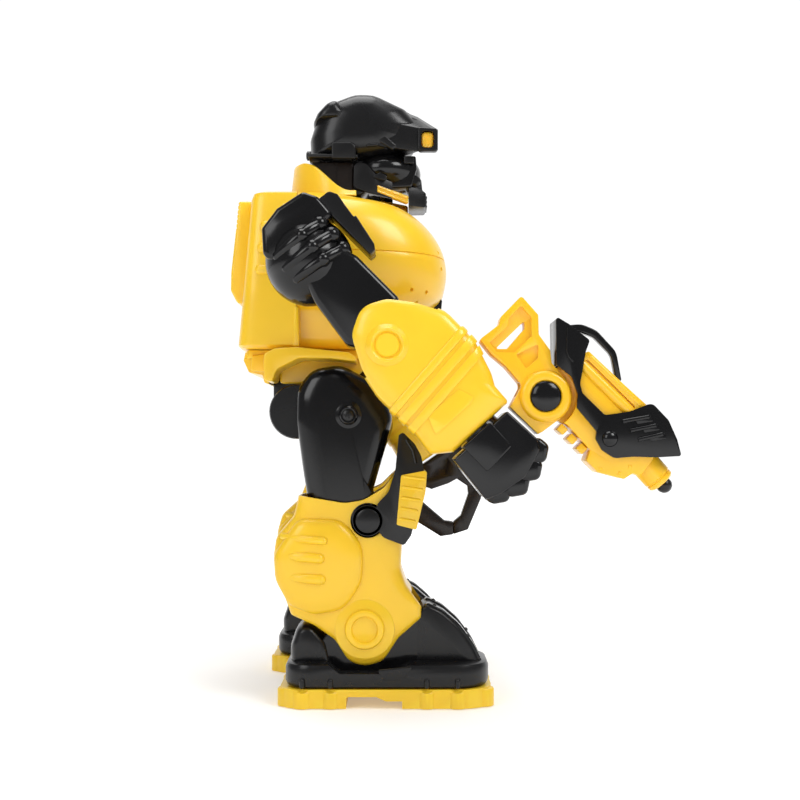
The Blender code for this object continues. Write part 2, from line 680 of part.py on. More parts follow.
def forearm_half(name, side, outward):
    """Outer or inner half of the forearm, slotted at the elbow and bored for the wrist."""
    corners = [(-43, 171, 6), (-38.5, 184.5, 6), (-27, 187.5, 5), (-14, 186, 6), (0, 181.5, 8),
               (13, 168.5, 8),
               (20.5, 153.5, 6), (22, 148, 2), (28, 141, 2.5), (3.6, 118.6, 2.5), (-6.7, 117.6, 3),
               (-14, 127.5, 5),
               (-30, 143, 8), (-38, 155, 8)]
    seam = side * (ARM_Y + outward * 0.15)
    face = side * (ARM_Y + outward * FOREARM_HALF)
    shell = half_shell(name, corners, seam, face, YELLOW, 0.25)
    slot_corners = [(ELBOW[0] - 2, ELBOW[1] - 13, 0)]
    for angle in (205, 180, 155, 130, 105, 80, 55, 40):
        slot_corners.append((ELBOW[0] + 42 * math.cos(math.radians(angle)),
                             ELBOW[1] + 42 * math.sin(math.radians(angle)), 0))
    slot_corners.append((ELBOW[0] + 6, ELBOW[1] + 3, 0))
    slot = slab("elbow_slot_tool", slot_corners, side * (ARM_Y - 13.2), side * (ARM_Y + 13.2))
    centre = Vector((WRIST[0], side * ARM_Y, WRIST[1]))
    wrist = rod("wrist_bore_tool", centre - FOREARM_DIRECTION * 16, centre + FOREARM_DIRECTION * 8, 9.6)
    cut(shell, slot, wrist)
    if outward > 0:
        join(shell, y_rod("elbow_disc_tool", ELBOW, side * (ARM_Y + 15), side * (ARM_Y + 16.4), 9.7,
                          None, 20))
    return shell


def upper_arm(side, tag):
    front = upper_arm_half(f"upper_arm_front_{tag}", side, 1)
    rear = upper_arm_half(f"upper_arm_rear_{tag}", side, -1)
    axle = y_rod("elbow_axle_tool", ELBOW, side * (ARM_Y - 13.9), side * (ARM_Y + 13.9), 3.0)
    join(rear, elbow_tongue_tool(side), axle)
    profile = [(0, 21.3), (9, 21.3), (9, 19.6), (6, 19.1), (6, 2.2), (9, 1.7), (9, 0), (0, 0)]
    peg = turned(f"shoulder_peg_{tag}", profile, side_point(SHOULDER, side * 42.4), (0, side, 0),
                 BLACK_SATIN)
    return [front, rear, peg]


def forearm(side, tag):
    return [forearm_half(f"forearm_outer_{tag}", side, 1), forearm_half(f"forearm_inner_{tag}", side, -1)]


def wrist_plug_tool(wrist, reach):
    """Round plug of a hand, along the forearm as it stands."""
    centre = wrist.matrix_world.translation / MM
    direction = wrist.matrix_world.to_3x3() @ FOREARM_DIRECTION
    return rod("wrist_plug_tool", centre - direction * 13, centre + direction * reach, 9.0)


def right_hand(wrist):
    """Square wrist cuff and closed fist, with a bore through the fist for the blaster's grip."""
    corners = [(26.4, 137.6, 1), (40, 125, 2), (46, 117, 3), (42.5, 106.5, 4), (36.5, 101, 3),
               (24, 95.8, 4),
               (17, 98.5, 2), (2.9, 116.2, 1)]
    hand = slab("right_hand", [(x + 0.6, z - 0.6, r) for x, z, r in corners], -ARM_Y - 13.5,
                -ARM_Y + 13.5, BLACK_GLOSS)
    grip_bore = slab("grip_bore_tool", [(29.8, 142, 0), (42, 130.6, 0), (28.8, 116.4, 0),
                                        (16.6, 127.8, 0)],
                     -ARM_Y - 5.4, -ARM_Y + 5.4)
    return cut(join(bevel(hand, 2.5), wrist_plug_tool(wrist, 6)), grip_bore)


# ---------------------------------------------------------------- blaster

def blaster_stock():
    """Rear frame of the blaster: an angular stock, the hinge cheeks and the grip in the fist."""
    corners = [(24.8, 179, 1), (33.8, 188.3, 1), (41.3, 179.7, 1), (41.5, 171, 2), (46.6, 164, 1),
               (47.2, 158.5, 0),
               (54.5, 149.5, 3), (55.5, 140, 4), (51, 133.8, 2), (43.2, 128.0, 1), (41.2, 126.9, 0),
               (28.9, 138.9, 0),
               (34.1, 148.7, 3), (27, 157, 2), (20.6, 162.4, 1), (15.2, 168.9, 1), (24, 175.5, 1)]
    stock = slab("blaster_stock", corners, -ARM_Y - 7.2, -ARM_Y + 7.2, YELLOW)
    grip = slab("grip_tool", [(31.2, 141.6, 0), (40.6, 132.8, 0), (28.4, 119.2, 0), (19, 128.0, 0)],
                -ARM_Y - 5, -ARM_Y + 5)
    window = slab("stock_window_tool", [(27.5, 165.6, 1), (38.8, 167.0, 1), (38.2, 161.0, 1),
                                        (34.2, 157.4, 1)],
                  -ARM_Y - 9, -ARM_Y + 9)
    hinge_room = slab("hinge_room_tool", circle(BLASTER_HINGE, 13.0), -ARM_Y - 3.9, -ARM_Y + 3.9)
    throat = slab("hinge_throat_tool", [(38, 160, 0), (60, 172, 0), (66, 130, 0), (48, 131.5, 0),
                                        (44.5, 143.6, 0)],
                  -ARM_Y - 3.9, -ARM_Y + 3.9)
    hole = y_rod("hinge_hole_tool", BLASTER_HINGE, -ARM_Y - 12, -ARM_Y + 12, 3.2)
    ring = y_rod("hinge_ring_tool", BLASTER_HINGE, -ARM_Y - 8.4, -ARM_Y + 8.4, 11.6, None, 20)
    return cut(join(stock, ring, grip), window, hinge_room, throat, hole)


def blaster_front():
    """Barrel assembly that tips about the hinge: yellow barrel, black cover with its handle, dart."""
    tongue = [(38.5, 139, 5), (38.5, 148, 5), (45, 153, 5), (50, 156.5, 0), (63.4, 163.8, 1),
              (79.8, 148.1, 1), (90, 139, 3),
              (99, 131, 3), (102.5, 118, 3), (101.9, 110.2, 0), (92.9, 102, 0), (89.5, 103.6, 1),
              (83, 109.6, 1),
              (79, 107, 1), (67.5, 110, 1), (62.5, 115, 1), (64.2, 119.8, 1), (54, 131, 2),
              (47, 134.5, 3)]
    barrel = slab("blaster_barrel", tongue, -ARM_Y - 8.6, -ARM_Y + 8.6, YELLOW)
    for sign in (-1, 1):
        room = slab("cheek_room_tool", circle(BLASTER_HINGE, 14.2), -ARM_Y + sign * 3.5,
                    -ARM_Y + sign * 12)
        cut(barrel, room)
    muzzle = Vector((98.2, -ARM_Y, 104.5))
    bore = rod("dart_bore_tool", muzzle - MUZZLE_DIRECTION * 24, muzzle + MUZZLE_DIRECTION * 6, 3.3)
    hole = y_rod("barrel_hole_tool", BLASTER_HINGE, -ARM_Y - 12, -ARM_Y + 12, 3.2)
    cut(barrel, hole, bore)
    dart = rod("dart", muzzle - MUZZLE_DIRECTION * 22, muzzle, 2.6, BLACK_SATIN, 16)
    join(dart, ball("dart_tip_tool", muzzle + MUZZLE_DIRECTION * 0.6, 3.6))
    head = [(0, 20.4), (6.8, 20.4), (6.8, 19.1), (2.9, 19.1), (2.9, 1.3), (6.8, 1.3), (6.8, 0), (0, 0)]
    pin = turned("blaster_pivot_pin", head, side_point(BLASTER_HINGE, -ARM_Y + 10.2), (0, -1, 0),
                 BLACK_GLOSS, 18)
    return barrel, dart, pin


def blaster_cover():
    """Black saddle over the barrel, in one piece with the arched carry handle."""
    corners = [(48.6, 179, 1), (54.4, 175.5, 2), (64, 168.3, 2), (68.2, 161.5, 1), (60.5, 155.5, 2),
               (59.5, 147, 3), (70.2, 135.1, 2),
               (81, 137, 3), (92, 141.5, 3), (100.5, 133.2, 3), (104.4, 118.5, 1.5), (92.9, 116, 1),
               (74.4, 116, 2), (68.9, 119.8, 1),
               (66.3, 127, 1), (58.2, 137.8, 1), (58.4, 144.8, 2), (57.6, 157.0, 1), (51.2, 158.4, 1)]
    cover = slab("blaster_cover", corners, -ARM_Y - 10.8, -ARM_Y + 10.8, BLACK_GLOSS)
    inside = [(47, 150, 0), (50, 157.6, 0), (63.3, 164.3, 0), (80, 148.5, 0), (90.3, 139.4, 2),
              (99.3, 131.3, 3), (102.9, 118, 2),
              (103.5, 112, 0), (90, 98, 0), (60, 108, 0), (44, 140, 0)]
    room = slab("barrel_room_tool", inside, -ARM_Y - 8.9, -ARM_Y + 8.9)
    outer = [(52, 176.6, 0), (61.3, 176.4, 5), (68.5, 173.5, 5), (77.5, 163.5, 6), (79.6, 149.2, 1),
             (76.0, 152.6, 1),
             (74.5, 161.5, 5), (66.5, 169.5, 4), (60, 172.6, 3), (53, 172.6, 0)]
    handle = slab("carry_handle_tool", outer, -ARM_Y - 2.2, -ARM_Y + 2.2)
    return join(cut(cover, room), handle)


# ---------------------------------------------------------------- claw hand

def claw():
    """Gripper of the left arm: a base block and two angular fingers that meet at their tips."""
    corners = [(-8.8, 109.3, 1), (-12, 98, 2), (-5, 97.6, 0.5), (-1.7, 96.3, 0.5), (8.2, 99.7, 0.5),
               (16, 104, 1),
               (22, 101.5, 2), (26.5, 110, 3), (23.5, 126, 2), (19.4, 128.6, 1)]
    base = slab("claw_base", corners, ARM_Y - 10, ARM_Y + 10, BLACK_SATIN)
    slots = [slab("finger_slot_tool", circle(pivot, 9.5), ARM_Y - 4.3,
                  ARM_Y + 4.3) for pivot in (CLAW_FRONT, CLAW_REAR)]
    cut(base, *slots)
    front = slab("claw_finger_front", [(14, 112, 3), (22, 108, 3), (28.5, 99, 2), (27.5, 90.7, 1),
                                       (19.8, 72.2, 1),
                                       (11.5, 69.4, 0), (11.5, 77, 0), (15.6, 80.6, 1), (20, 93.3, 1),
                                       (19.5, 98, 1), (12, 103, 2)],
                 ARM_Y - 4, ARM_Y + 4, BLACK_SATIN)
    rear = slab("claw_finger_rear", [(-5, 106, 3), (-13.5, 102, 3), (-16, 92, 2), (-12, 78.2, 1),
                                     (3.8, 68.2, 1),
                                     (11.1, 69.3, 0), (11.1, 77, 0), (6.2, 77.6, 1), (-7.2, 89, 1),
                                     (-6.4, 94.5, 1), (-4, 98, 2)],
                ARM_Y - 4, ARM_Y + 4, BLACK_SATIN)
    return base, front, rear


# ---------------------------------------------------------------- legs, all in the right leg's pose

def thigh_half(name, side, outward):
    corners = [(-69, 149, 8), (-69.5, 136, 4), (-66, 108, 4), (-61, 78, 6), (-29, 77, 6), (-28, 91, 4),
               (-33.5, 98.5, 3), (-27, 121, 6),
               (-23, 135, 2.5), (-28, 142, 4), (-40, 155, 5), (-49, 160, 6), (-61, 158, 8)]
    shell = half_shell(name, corners, side * (LEG_Y + outward * 0.15),
                       side * (LEG_Y + outward * THIGH_HALF),
                       BLACK_GLOSS, 0.35)
    inner_face = LEG_Y - THIGH_HALF
    outer_face = LEG_Y + THIGH_HALF
    bore = y_rod("hip_bore_tool", HIP, side * 20, side * 64, 2.8, None, 12)
    knee_bore = y_rod("knee_bore_tool", KNEE, side * (LEG_Y + outward * 10),
                      side * (LEG_Y + outward * 15), 3.4)
    if outward < 0:
        lobe = y_rod("crank_lobe_tool", CRANK_LOBE, side * inner_face, side * (inner_face + 6), 13.4,
                     None, 24)
        pocket = y_rod("crank_pocket_tool", CRANK_LOBE, side * (inner_face - 2),
                       side * (inner_face + 4), 10.2, None, 20)
        cut(join(shell, lobe), pocket, bore, knee_bore)
    else:
        boss = y_rod("hip_boss_tool", HIP, side * (outer_face - 1.2), side * (outer_face + 1.6), 4.6)
        cut(join(shell, boss), bore, knee_bore)
    return shell


def shin_half(name, side, outward):
    """Half of the shin: an open cup round the knee, a full calf and two cheeks round the ankle."""
    corners = [(-68, 118, 3), (-68, 98, 3), (-70, 89, 4), (-78.5, 79, 6), (-80, 68, 10), (-77, 57.5, 8),
               (-71.5, 42, 4),
               (-60.5, 37, 6), (-50.5, 30, 5), (-44, 19.5, 6), (-36.4, 17.8, 8), (-28, 19.5, 6),
               (-20.5, 31, 6), (-9.8, 40.5, 3),
               (-9.5, 46, 3), (-17, 56.5, 6), (-19.5, 64, 6), (-18.8, 78, 4), (-21, 118, 3)]
    shell = half_shell(name, corners, side * (LEG_Y + outward * 0.15),
                       side * (LEG_Y + outward * SHIN_HALF),
                       YELLOW, 0.22)
    rim = slab("shin_rim_tool", [(-90, 98.5, 0), (-66.5, 98.2, 0), (-46, 94.6, 3), (-37, 96, 3),
                                 (-27, 102, 3), (-20, 112, 0),
                                 (0, 112, 0), (0, 140, 0), (-90, 140, 0)], side * 10, side * 75)
    notch = y_rod("knee_notch_tool", KNEE, side * 10, side * 75, 8.4)
    fork = slab("ankle_fork_tool", [(-90, 5, 0), (-90, 47, 0), (-62, 49, 6), (-30, 53, 6), (0, 53, 0),
                                    (0, 5, 0)],
                side * (LEG_Y - 14.3), side * (LEG_Y + 14.3))
    cut(shell, rim, notch, fork)
    if outward > 0:
        join(shell, y_rod("ankle_disc_tool", ANKLE, side * (LEG_Y + SHIN_HALF - 0.8),
                          side * (LEG_Y + SHIN_HALF + 1.6), 9.4,
                          None, 20))
    return shell


def knee_guard(side, tag):
    """Black guard that wraps the front of the knee, with a ribbed yellow band round it."""
    inner, outer = SHIN_HALF + GAP, SHIN_HALF + 2.3
    corners = [(-31.5, 93.8, 3), (-29.5, 79.6, 3), (-18.1, 75.1, 1), (-14.6, 80, 2), (-10.5, 95.8, 0),
               (-8.1, 107.7, 4),
                 (-10, 117.3, 4), (-13.2, 122.6, 3), (-19, 128.2, 0.6), (-20.2, 126.6, 0.6),
                 (-21.4, 110.1, 4), (-24.8, 100, 3)]
    guard = slab(f"knee_guard_{tag}", corners, side * (LEG_Y - outer), side * (LEG_Y + outer),
                 BLACK_SATIN)
    lug = y_rod("knee_lug_tool", KNEE, side * (LEG_Y - outer), side * (LEG_Y + outer), 7.2, None, 18)
    room = slab("guard_room_tool", [(-60, 60, 0), (-8, 60, 0), (-13.2, 83, 0), (-14, 95.8, 0),
                                    (-11.6, 108, 0), (-13.5, 116.5, 0),
                                    (-24, 140, 0),
                                    (-60, 140, 0)], side * (LEG_Y - inner), side * (LEG_Y + inner))
    cut(join(guard, lug), room)
    for sign in (-1, 1):
        near, far = LEG_Y + sign * (SHIN_HALF - 1.6), LEG_Y + sign * (SHIN_HALF + 1)
        tip = LEG_Y + sign * (THIGH_HALF - 1.4)
        join(guard, y_rod("knee_stub_tool", KNEE, side * near, side * far, 7.0, None, 18),
             y_rod("knee_pin_tool", KNEE, side * tip, side * far, 3.0))
    band = [(-19.5, 108, 0.5), (-7.2, 110.5, 0.5), (-12.3, 82.4, 0.5), (-21.8, 85, 0.5)]
    insert = slab(f"knee_insert_{tag}", band, side * (LEG_Y - outer - 1.2),
                  side * (LEG_Y + outer + 1.2), YELLOW)
    hollow = [(-40, 60, 0), (-19.5, 72, 0), (-14.1, 80, 0), (-10.1, 95.8, 0), (-7.7, 107.7, 3),
              (-9.8, 118, 0), (-40, 130, 0)]
    cut(insert, slab("insert_room_tool", hollow, side * (LEG_Y - outer - GAP),
                     side * (LEG_Y + outer + GAP)))
    return [guard, insert]


def foot(side, tag):
    """Shoe with a raised heel and instep, a studded sole and a roller sunk in the sole."""
    plan = [(-74, -FOOT_HALF, 9), (22, -FOOT_HALF, 13), (22, FOOT_HALF, 13), (-74, FOOT_HALF, 9)]
    y = side * LEG_Y
    shell = plan_slab(f"foot_shell_{tag}", [(x, y + w, r) for x, w, r in plan], SOLE_HEIGHT + GAP, 20.0,
                      BLACK_SATIN)
    bevel(shell, 2.5)
    pit = slab("ankle_pit_tool", [(-56, 30, 0), (-54, 20.5, 3), (-48, 16, 3), (-26, 16, 3),
                                  (-15, 20.5, 3), (-14, 30, 0)], y - 30, y + 30)
    heel = slab("heel_tool", [(-71.8, 14, 0), (-71.8, 27, 3), (-68.5, 40, 4), (-60, 40, 3),
                              (-54, 14, 0)], y - 12, y + 12)
    instep = slab("instep_tool", [(-13, 14, 0), (-13, 44, 2), (-7, 47.3, 2), (0, 43.8, 6), (7.5, 37, 8),
                                  (14, 28, 8), (19, 18, 2),
                                  (19, 14, 0)], y - 13.8, y + 13.8)
    lug = slab("ankle_lug_tool", [(-50, 12, 0), (-46, 36, 6), (-44, 45, 6), (-29, 45, 6), (-27, 36, 6),
                                  (-23, 12, 0)], y - 11, y + 11)
    pins = y_rod("ankle_pin_tool", ANKLE, y - 16.3, y + 16.3, 4.5)
    pocket = plan_slab("foot_pocket_tool", [(-71, y - 20.5, 7), (19, y - 20.5, 10), (19, y + 20.5, 10),
                                            (-71, y + 20.5, 7)], 5, 13.5)
    cut(shell, pit)
    join(shell, heel, instep, lug, pins)
    cut(shell, pocket)
    return shell


def sole(side, tag):
    y = side * LEG_Y
    plan = [(-77.5, y - 24.5, 10), (24.4, y - 24.5, 14), (24.4, y + 24.5, 14), (-77.5, y + 24.5, 10)]
    plate = plan_slab(f"sole_{tag}", plan, 0.0, SOLE_HEIGHT, YELLOW)
    arch = slab("arch_tool", [(-45, -2, 0), (-45, 5.6, 1), (-31, 5.6, 0), (-26, 3.6, 0), (-19, 3.6, 0),
                              (-19, -2, 0)], y - 30, y + 30)
    slot = block("roller_slot_tool", (-5.4, y - 11.5, -1), (5.4, y + 11.5, 12))
    cut(bevel(plate, 0.5, 1), arch, slot)
    profile = [(0, 22.4), (1.2, 22.4), (1.2, 18.6), (4.3, 18.6), (4.3, 3.8), (1.2, 3.8), (1.2, 0), (0, 0)]
    roller = turned(f"foot_roller_{tag}", profile, (0, y - 11.2, 4.7), (0, 1, 0), BLACK_SATIN)
    return plate, roller


def thigh(side, tag):
    return [thigh_half(f"thigh_outer_{tag}", side, 1), thigh_half(f"thigh_inner_{tag}", side, -1)]


def shin(side, tag):
    return [shin_half(f"shin_outer_{tag}", side, 1), shin_half(f"shin_inner_{tag}", side, -1)]


# ---------------------------------------------------------------- assembly

def place_arms():
    """Arms in the right arm's pose; the left one is then swung back about its shoulder."""
    for side, tag in ((RIGHT, "right"), (LEFT, "left")):
        y = side * ARM_Y
        shoulder = joint_empty(f"shoulder_axis_{tag}", side_point(SHOULDER, side * SHOULDER_Y))
        elbow = joint_empty(f"elbow_axis_{tag}", side_point(ELBOW, y), shoulder)
        wrist = joint_empty(f"wrist_axis_{tag}", side_point(WRIST, y), elbow)
        attach(shoulder, *upper_arm(side, tag))
        attach(elbow, *forearm(side, tag))
        if side == RIGHT:
            stock = blaster_stock()
            attach(wrist, right_hand(wrist), stock)
            hinge = joint_empty("blaster_axis", side_point(BLASTER_HINGE, y), wrist)
            barrel, dart, pin = blaster_front()
            attach(hinge, barrel, blaster_cover(), pin)
            slide = joint_empty("dart_axis", (98.2, y, 104.5), hinge)
            attach(slide, dart)
        else:
            swing(shoulder, -LEFT_ARM_SWING)
            base, front, rear = claw()
            join(base, wrist_plug_tool(wrist, 8))
            attach(wrist, base)
            attach(joint_empty("claw_axis_front", side_point(CLAW_FRONT, y), wrist), front)
            attach(joint_empty("claw_axis_rear", side_point(CLAW_REAR, y), wrist), rear)


def place_legs():
    """Legs in the right leg's pose; the left one is then stepped back, its foot staying level."""
    for side, tag in ((RIGHT, "right"), (LEFT, "left")):
        y = side * LEG_Y
        hip = joint_empty(f"hip_axis_{tag}", side_point(HIP, y))
        knee = joint_empty(f"knee_axis_{tag}", side_point(KNEE, y), hip)
        ankle = joint_empty(f"ankle_axis_{tag}", side_point(ANKLE, y), knee)
        guard = joint_empty(f"knee_guard_axis_{tag}", side_point(KNEE, y), knee)
        attach(hip, *thigh(side, tag))
        attach(knee, *shin(side, tag))
        attach(guard, *knee_guard(side, tag))
        plate, roller = sole(side, tag)
        attach(ankle, foot(side, tag), plate)
        attach(joint_empty(f"roller_axis_{tag}", (0, y, 4.7), ankle), roller)
        if side == LEFT:
            swing(hip, LEFT_THIGH_TURN)
            swing(knee, LEFT_SHIN_TURN - LEFT_THIGH_TURN)
            swing(ankle, -LEFT_SHIN_TURN)
            swing(guard, -LEFT_GUARD_SWING)


def place_head():
    head = joint_empty("head_axis", (NECK_X, 0, 250))
    attach(head, helmet(), *head_parts())


def place_body():
    torso_front()
    torso_rear()
    battery_door()
    batteries()
    collar()
    board, speaker, panel, switch = torso_contents()
    attach(joint_empty("switch_axis", (-98, 11.9, 180.5)), switch)
    pelvis()
    gearbox_case()
    motor, pinion, idler, shaft, axle = drive()
    attach(joint_empty("crank_axis", side_point(CRANK, 0)), shaft)
    attach(joint_empty("idler_axis", side_point(IDLER_AXIS, 0)), idler)
    attach(joint_empty("motor_axis", side_point(MOTOR_AXIS, 0)), pinion)


place_body()
place_head()
place_arms()
place_legs()
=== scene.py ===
"""Looks of the walking toy robot: fine moulded shells, detail and plastic materials round the fixed frame.

Sizes are in millimetres in the frame's axes: +X forward, +Y the robot's left, +Z up. Side outlines are
lists of (x, z, corner radius). Limbs are made in the right limb's pose and moved for the left one.
"""
import json
import math

import bmesh
import bpy
from mathutils import Matrix, Vector


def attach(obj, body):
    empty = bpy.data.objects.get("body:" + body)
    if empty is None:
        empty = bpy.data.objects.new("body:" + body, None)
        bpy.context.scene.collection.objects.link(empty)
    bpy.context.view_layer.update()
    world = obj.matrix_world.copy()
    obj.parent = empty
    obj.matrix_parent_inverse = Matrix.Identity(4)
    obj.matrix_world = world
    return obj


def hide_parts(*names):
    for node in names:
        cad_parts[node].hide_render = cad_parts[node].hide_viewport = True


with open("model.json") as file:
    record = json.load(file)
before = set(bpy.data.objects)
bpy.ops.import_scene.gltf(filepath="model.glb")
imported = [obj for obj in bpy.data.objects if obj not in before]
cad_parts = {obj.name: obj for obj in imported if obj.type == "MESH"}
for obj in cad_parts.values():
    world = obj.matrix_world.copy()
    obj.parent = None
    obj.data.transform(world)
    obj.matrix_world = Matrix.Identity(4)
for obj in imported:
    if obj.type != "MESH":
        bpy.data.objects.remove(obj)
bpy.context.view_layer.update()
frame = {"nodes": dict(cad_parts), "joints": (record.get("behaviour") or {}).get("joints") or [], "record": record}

MM = 0.001
RIGHT, LEFT = -1, 1
SIDES = ((RIGHT, "right"), (LEFT, "left"))
HALVES = ((1, "outer"), (-1, "inner"))             # of a limb: away from the body, and towards it
BLASTER_FACES = ((-1, "outer"), (1, "inner"))      # of the right hand's blaster, by the sign of y
SHARP_ANGLE = 38                                   # edges above this angle stay sharp, in degrees
ARC_STEP = 15                                      # degrees of a rounded corner between its points
CURVE_STEPS = 5                                    # sections added to each span of a torso shell
GRAIN_SCALE = 900.0                                # moulding grain, in cells per metre
JOINT = {j["name"]: Vector(j["pos_m"]) / MM for j in frame["joints"] if "pos_m" in j}


def side_view(joint):
    """A joint's place as (x, z)."""
    return Vector((JOINT[joint].x, JOINT[joint].z))


HIP = side_view("hip_right")
KNEE = side_view("knee_right")
ANKLE = side_view("ankle_right")
SHOULDER = side_view("shoulder_right")
ELBOW = side_view("elbow_right")
WRIST = side_view("wrist_right")
HINGE = side_view("blaster_hinge")
LEG_Y = JOINT["hip_left"].y
ARM_Y = JOINT["elbow_left"].y
SHOULDER_Y = JOINT["shoulder_left"].y
GUARD_TIP = 7.0                # the left knee guard is tipped forward by this many degrees
THIGH_HALF, SHIN_HALF, FOREARM_HALF = 14.0, 18.5, 16.0


def direction_of(start, end):
    return math.degrees(math.atan2(end.y - start.y, end.x - start.x))


def left_turn(near, far):
    """How far the left limb's bone is turned from the right one's, in degrees."""
    left = direction_of(side_view(near + "_left"), side_view(far + "_left"))
    return left - direction_of(side_view(near + "_right"), side_view(far + "_right"))


# ---------------------------------------------------------------- materials

def plastic(name, colour, roughness, coat=0.0, grain=0.25, variation=0.06, edge_highlight=0.0, glow=0.0):
    """Moulded plastic: fine moulding grain, slow changes of tone and sheen, and lighter edges that are a painted
    edge highlight.
    """
    material = bpy.data.materials.new(name)
    material.use_nodes = True
    nodes, links = material.node_tree.nodes, material.node_tree.links
    shader = nodes["Principled BSDF"]
    place = nodes.new("ShaderNodeTexCoord")
    slow = nodes.new("ShaderNodeTexNoise")
    slow.inputs["Scale"].default_value = 38.0
    slow.inputs["Detail"].default_value = 3.0
    links.new(place.outputs["Object"], slow.inputs["Vector"])
    tone = nodes.new("ShaderNodeValToRGB")
    dark = [c * (1.0 - variation) for c in colour]
    tone.color_ramp.elements[0].position = 0.35
    tone.color_ramp.elements[1].position = 0.70
    tone.color_ramp.elements[0].color = (*dark, 1.0)
    tone.color_ramp.elements[1].color = (*colour, 1.0)
    links.new(slow.outputs["Fac"], tone.inputs["Fac"])
    last = tone.outputs["Color"]
    # Convex edges are lightened by pointiness: a painted edge highlight, not wear.
    if edge_highlight > 0:
        geometry = nodes.new("ShaderNodeNewGeometry")
        edge = nodes.new("ShaderNodeValToRGB")
        edge.color_ramp.elements[0].position = 0.53
        edge.color_ramp.elements[1].position = 0.62
        links.new(geometry.outputs["Pointiness"], edge.inputs["Fac"])
        amount = nodes.new("ShaderNodeMath")
        amount.operation = "MULTIPLY"
        amount.inputs[1].default_value = edge_highlight
        links.new(edge.outputs["Color"], amount.inputs[0])
        mix = nodes.new("ShaderNodeMix")
        mix.data_type = "RGBA"
        mix.inputs[7].default_value = (*[min(1.0, c * 1.25 + 0.03) for c in colour], 1.0)
        links.new(amount.outputs[0], mix.inputs[0])
        links.new(last, mix.inputs[6])
        last = mix.outputs[2]
    links.new(last, shader.inputs["Base Color"])
    sheen = nodes.new("ShaderNodeMapRange")
    sheen.inputs["To Min"].default_value = roughness * 0.85
    sheen.inputs["To Max"].default_value = roughness * 1.2
    links.new(slow.outputs["Fac"], sheen.inputs["Value"])
    links.new(sheen.outputs["Result"], shader.inputs["Roughness"])
    fine = nodes.new("ShaderNodeTexNoise")
    fine.inputs["Scale"].default_value = GRAIN_SCALE
    fine.inputs["Detail"].default_value = 2.0
    links.new(place.outputs["Object"], fine.inputs["Vector"])
    bump = nodes.new("ShaderNodeBump")
    bump.inputs["Strength"].default_value = grain
    bump.inputs["Distance"].default_value = 0.00005
    links.new(fine.outputs["Fac"], bump.inputs["Height"])
    links.new(bump.outputs["Normal"], shader.inputs["Normal"])
    shader.inputs["Coat Weight"].default_value = coat
    shader.inputs["Coat Roughness"].default_value = 0.08
    if glow > 0:
        shader.inputs["Subsurface Weight"].default_value = glow
        shader.inputs["Subsurface Radius"].default_value = (0.004, 0.002, 0.0005)
        shader.inputs["Subsurface Scale"].default_value = 1.0
    return material


# The seventh number of each plastic sets the strength of its painted edge highlight on convex edges.
YELLOW = plastic("yellow_plastic", (0.93, 0.575, 0.018), 0.30, 0.15, 0.20, 0.05, 0.25, 0.10)
SOLE_YELLOW = plastic("yellow_sole_plastic", (0.93, 0.60, 0.025), 0.36, 0.0, 0.30, 0.08, 0.25, 0.10)
BLASTER_YELLOW = plastic("yellow_blaster_plastic", (0.94, 0.52, 0.012), 0.28, 0.15, 0.20, 0.05, 0.25, 0.12)
GLOSS = plastic("black_gloss_plastic", (0.0040, 0.0040, 0.0046), 0.15, 0.0, 0.10, 0.20, 0.05)
SATIN = plastic("black_satin_plastic", (0.0055, 0.0055, 0.0062), 0.27, 0.0, 0.30, 0.20, 0.12)
BROWN = plastic("smoked_black_plastic", (0.012, 0.0075, 0.0055), 0.24, 0.0, 0.30, 0.20, 0.12)
AMBER = plastic("amber_plastic", (0.98, 0.52, 0.035), 0.16, 0.6, 0.10, 0.10, 0.0, 0.35)
NYLON = plastic("nylon_plastic", (0.80, 0.79, 0.75), 0.45, 0.0, 0.40, 0.06, 0.0, 0.10)
BOARD = plastic("board_green", (0.02, 0.16, 0.06), 0.50, 0.0, 0.60, 0.25)
SLEEVE = plastic("battery_sleeve", (0.16, 0.18, 0.21), 0.25, 0.4, 0.10, 0.15)
STEEL = plastic("drawn_steel", (0.60, 0.60, 0.62), 0.30, 0.0, 0.50, 0.10)
STEEL.node_tree.nodes["Principled BSDF"].inputs["Metallic"].default_value = 1.0
for black in (GLOSS, SATIN, BROWN):
    black.node_tree.nodes["Principled BSDF"].inputs["Specular IOR Level"].default_value = 0.38

SLOT_MATERIAL = {"yellow_shell": YELLOW, "yellow_sole": SOLE_YELLOW, "yellow_blaster": BLASTER_YELLOW,
                 "black_gloss": GLOSS, "black_satin": SATIN, "amber_lens": AMBER, "steel": STEEL,
                 "battery_sleeve": SLEEVE, "nylon_gear": NYLON, "board": BOARD, "dart_black": SATIN}


# ---------------------------------------------------------------- mesh helpers

def piece_from(bm, name, material=None, sharp=SHARP_ANGLE):
    """Turn a bmesh in millimetres into an object in metres; a tool has no material."""
    bmesh.ops.scale(bm, vec=(MM, MM, MM), verts=bm.verts)
    mesh = bpy.data.meshes.new(name)
    bm.to_mesh(mesh)
    bm.free()
    mesh.shade_smooth()
    mesh.set_sharp_from_angle(angle=math.radians(sharp))
    piece = bpy.data.objects.new(name, mesh)
    bpy.context.scene.collection.objects.link(piece)
    if material is not None:
        mesh.materials.append(material)
    return piece


def settle(piece):
    """Apply the modifiers of a piece and shade it again."""
    bpy.context.view_layer.update()
    graph = bpy.context.evaluated_depsgraph_get()
    mesh = bpy.data.meshes.new_from_object(piece.evaluated_get(graph))
    piece.modifiers.clear()
    piece.data = mesh
    mesh.transform(piece.matrix_world)
    piece.matrix_world = Matrix.Identity(4)
    mesh.shade_smooth()
    mesh.set_sharp_from_angle(angle=math.radians(SHARP_ANGLE))
    return piece


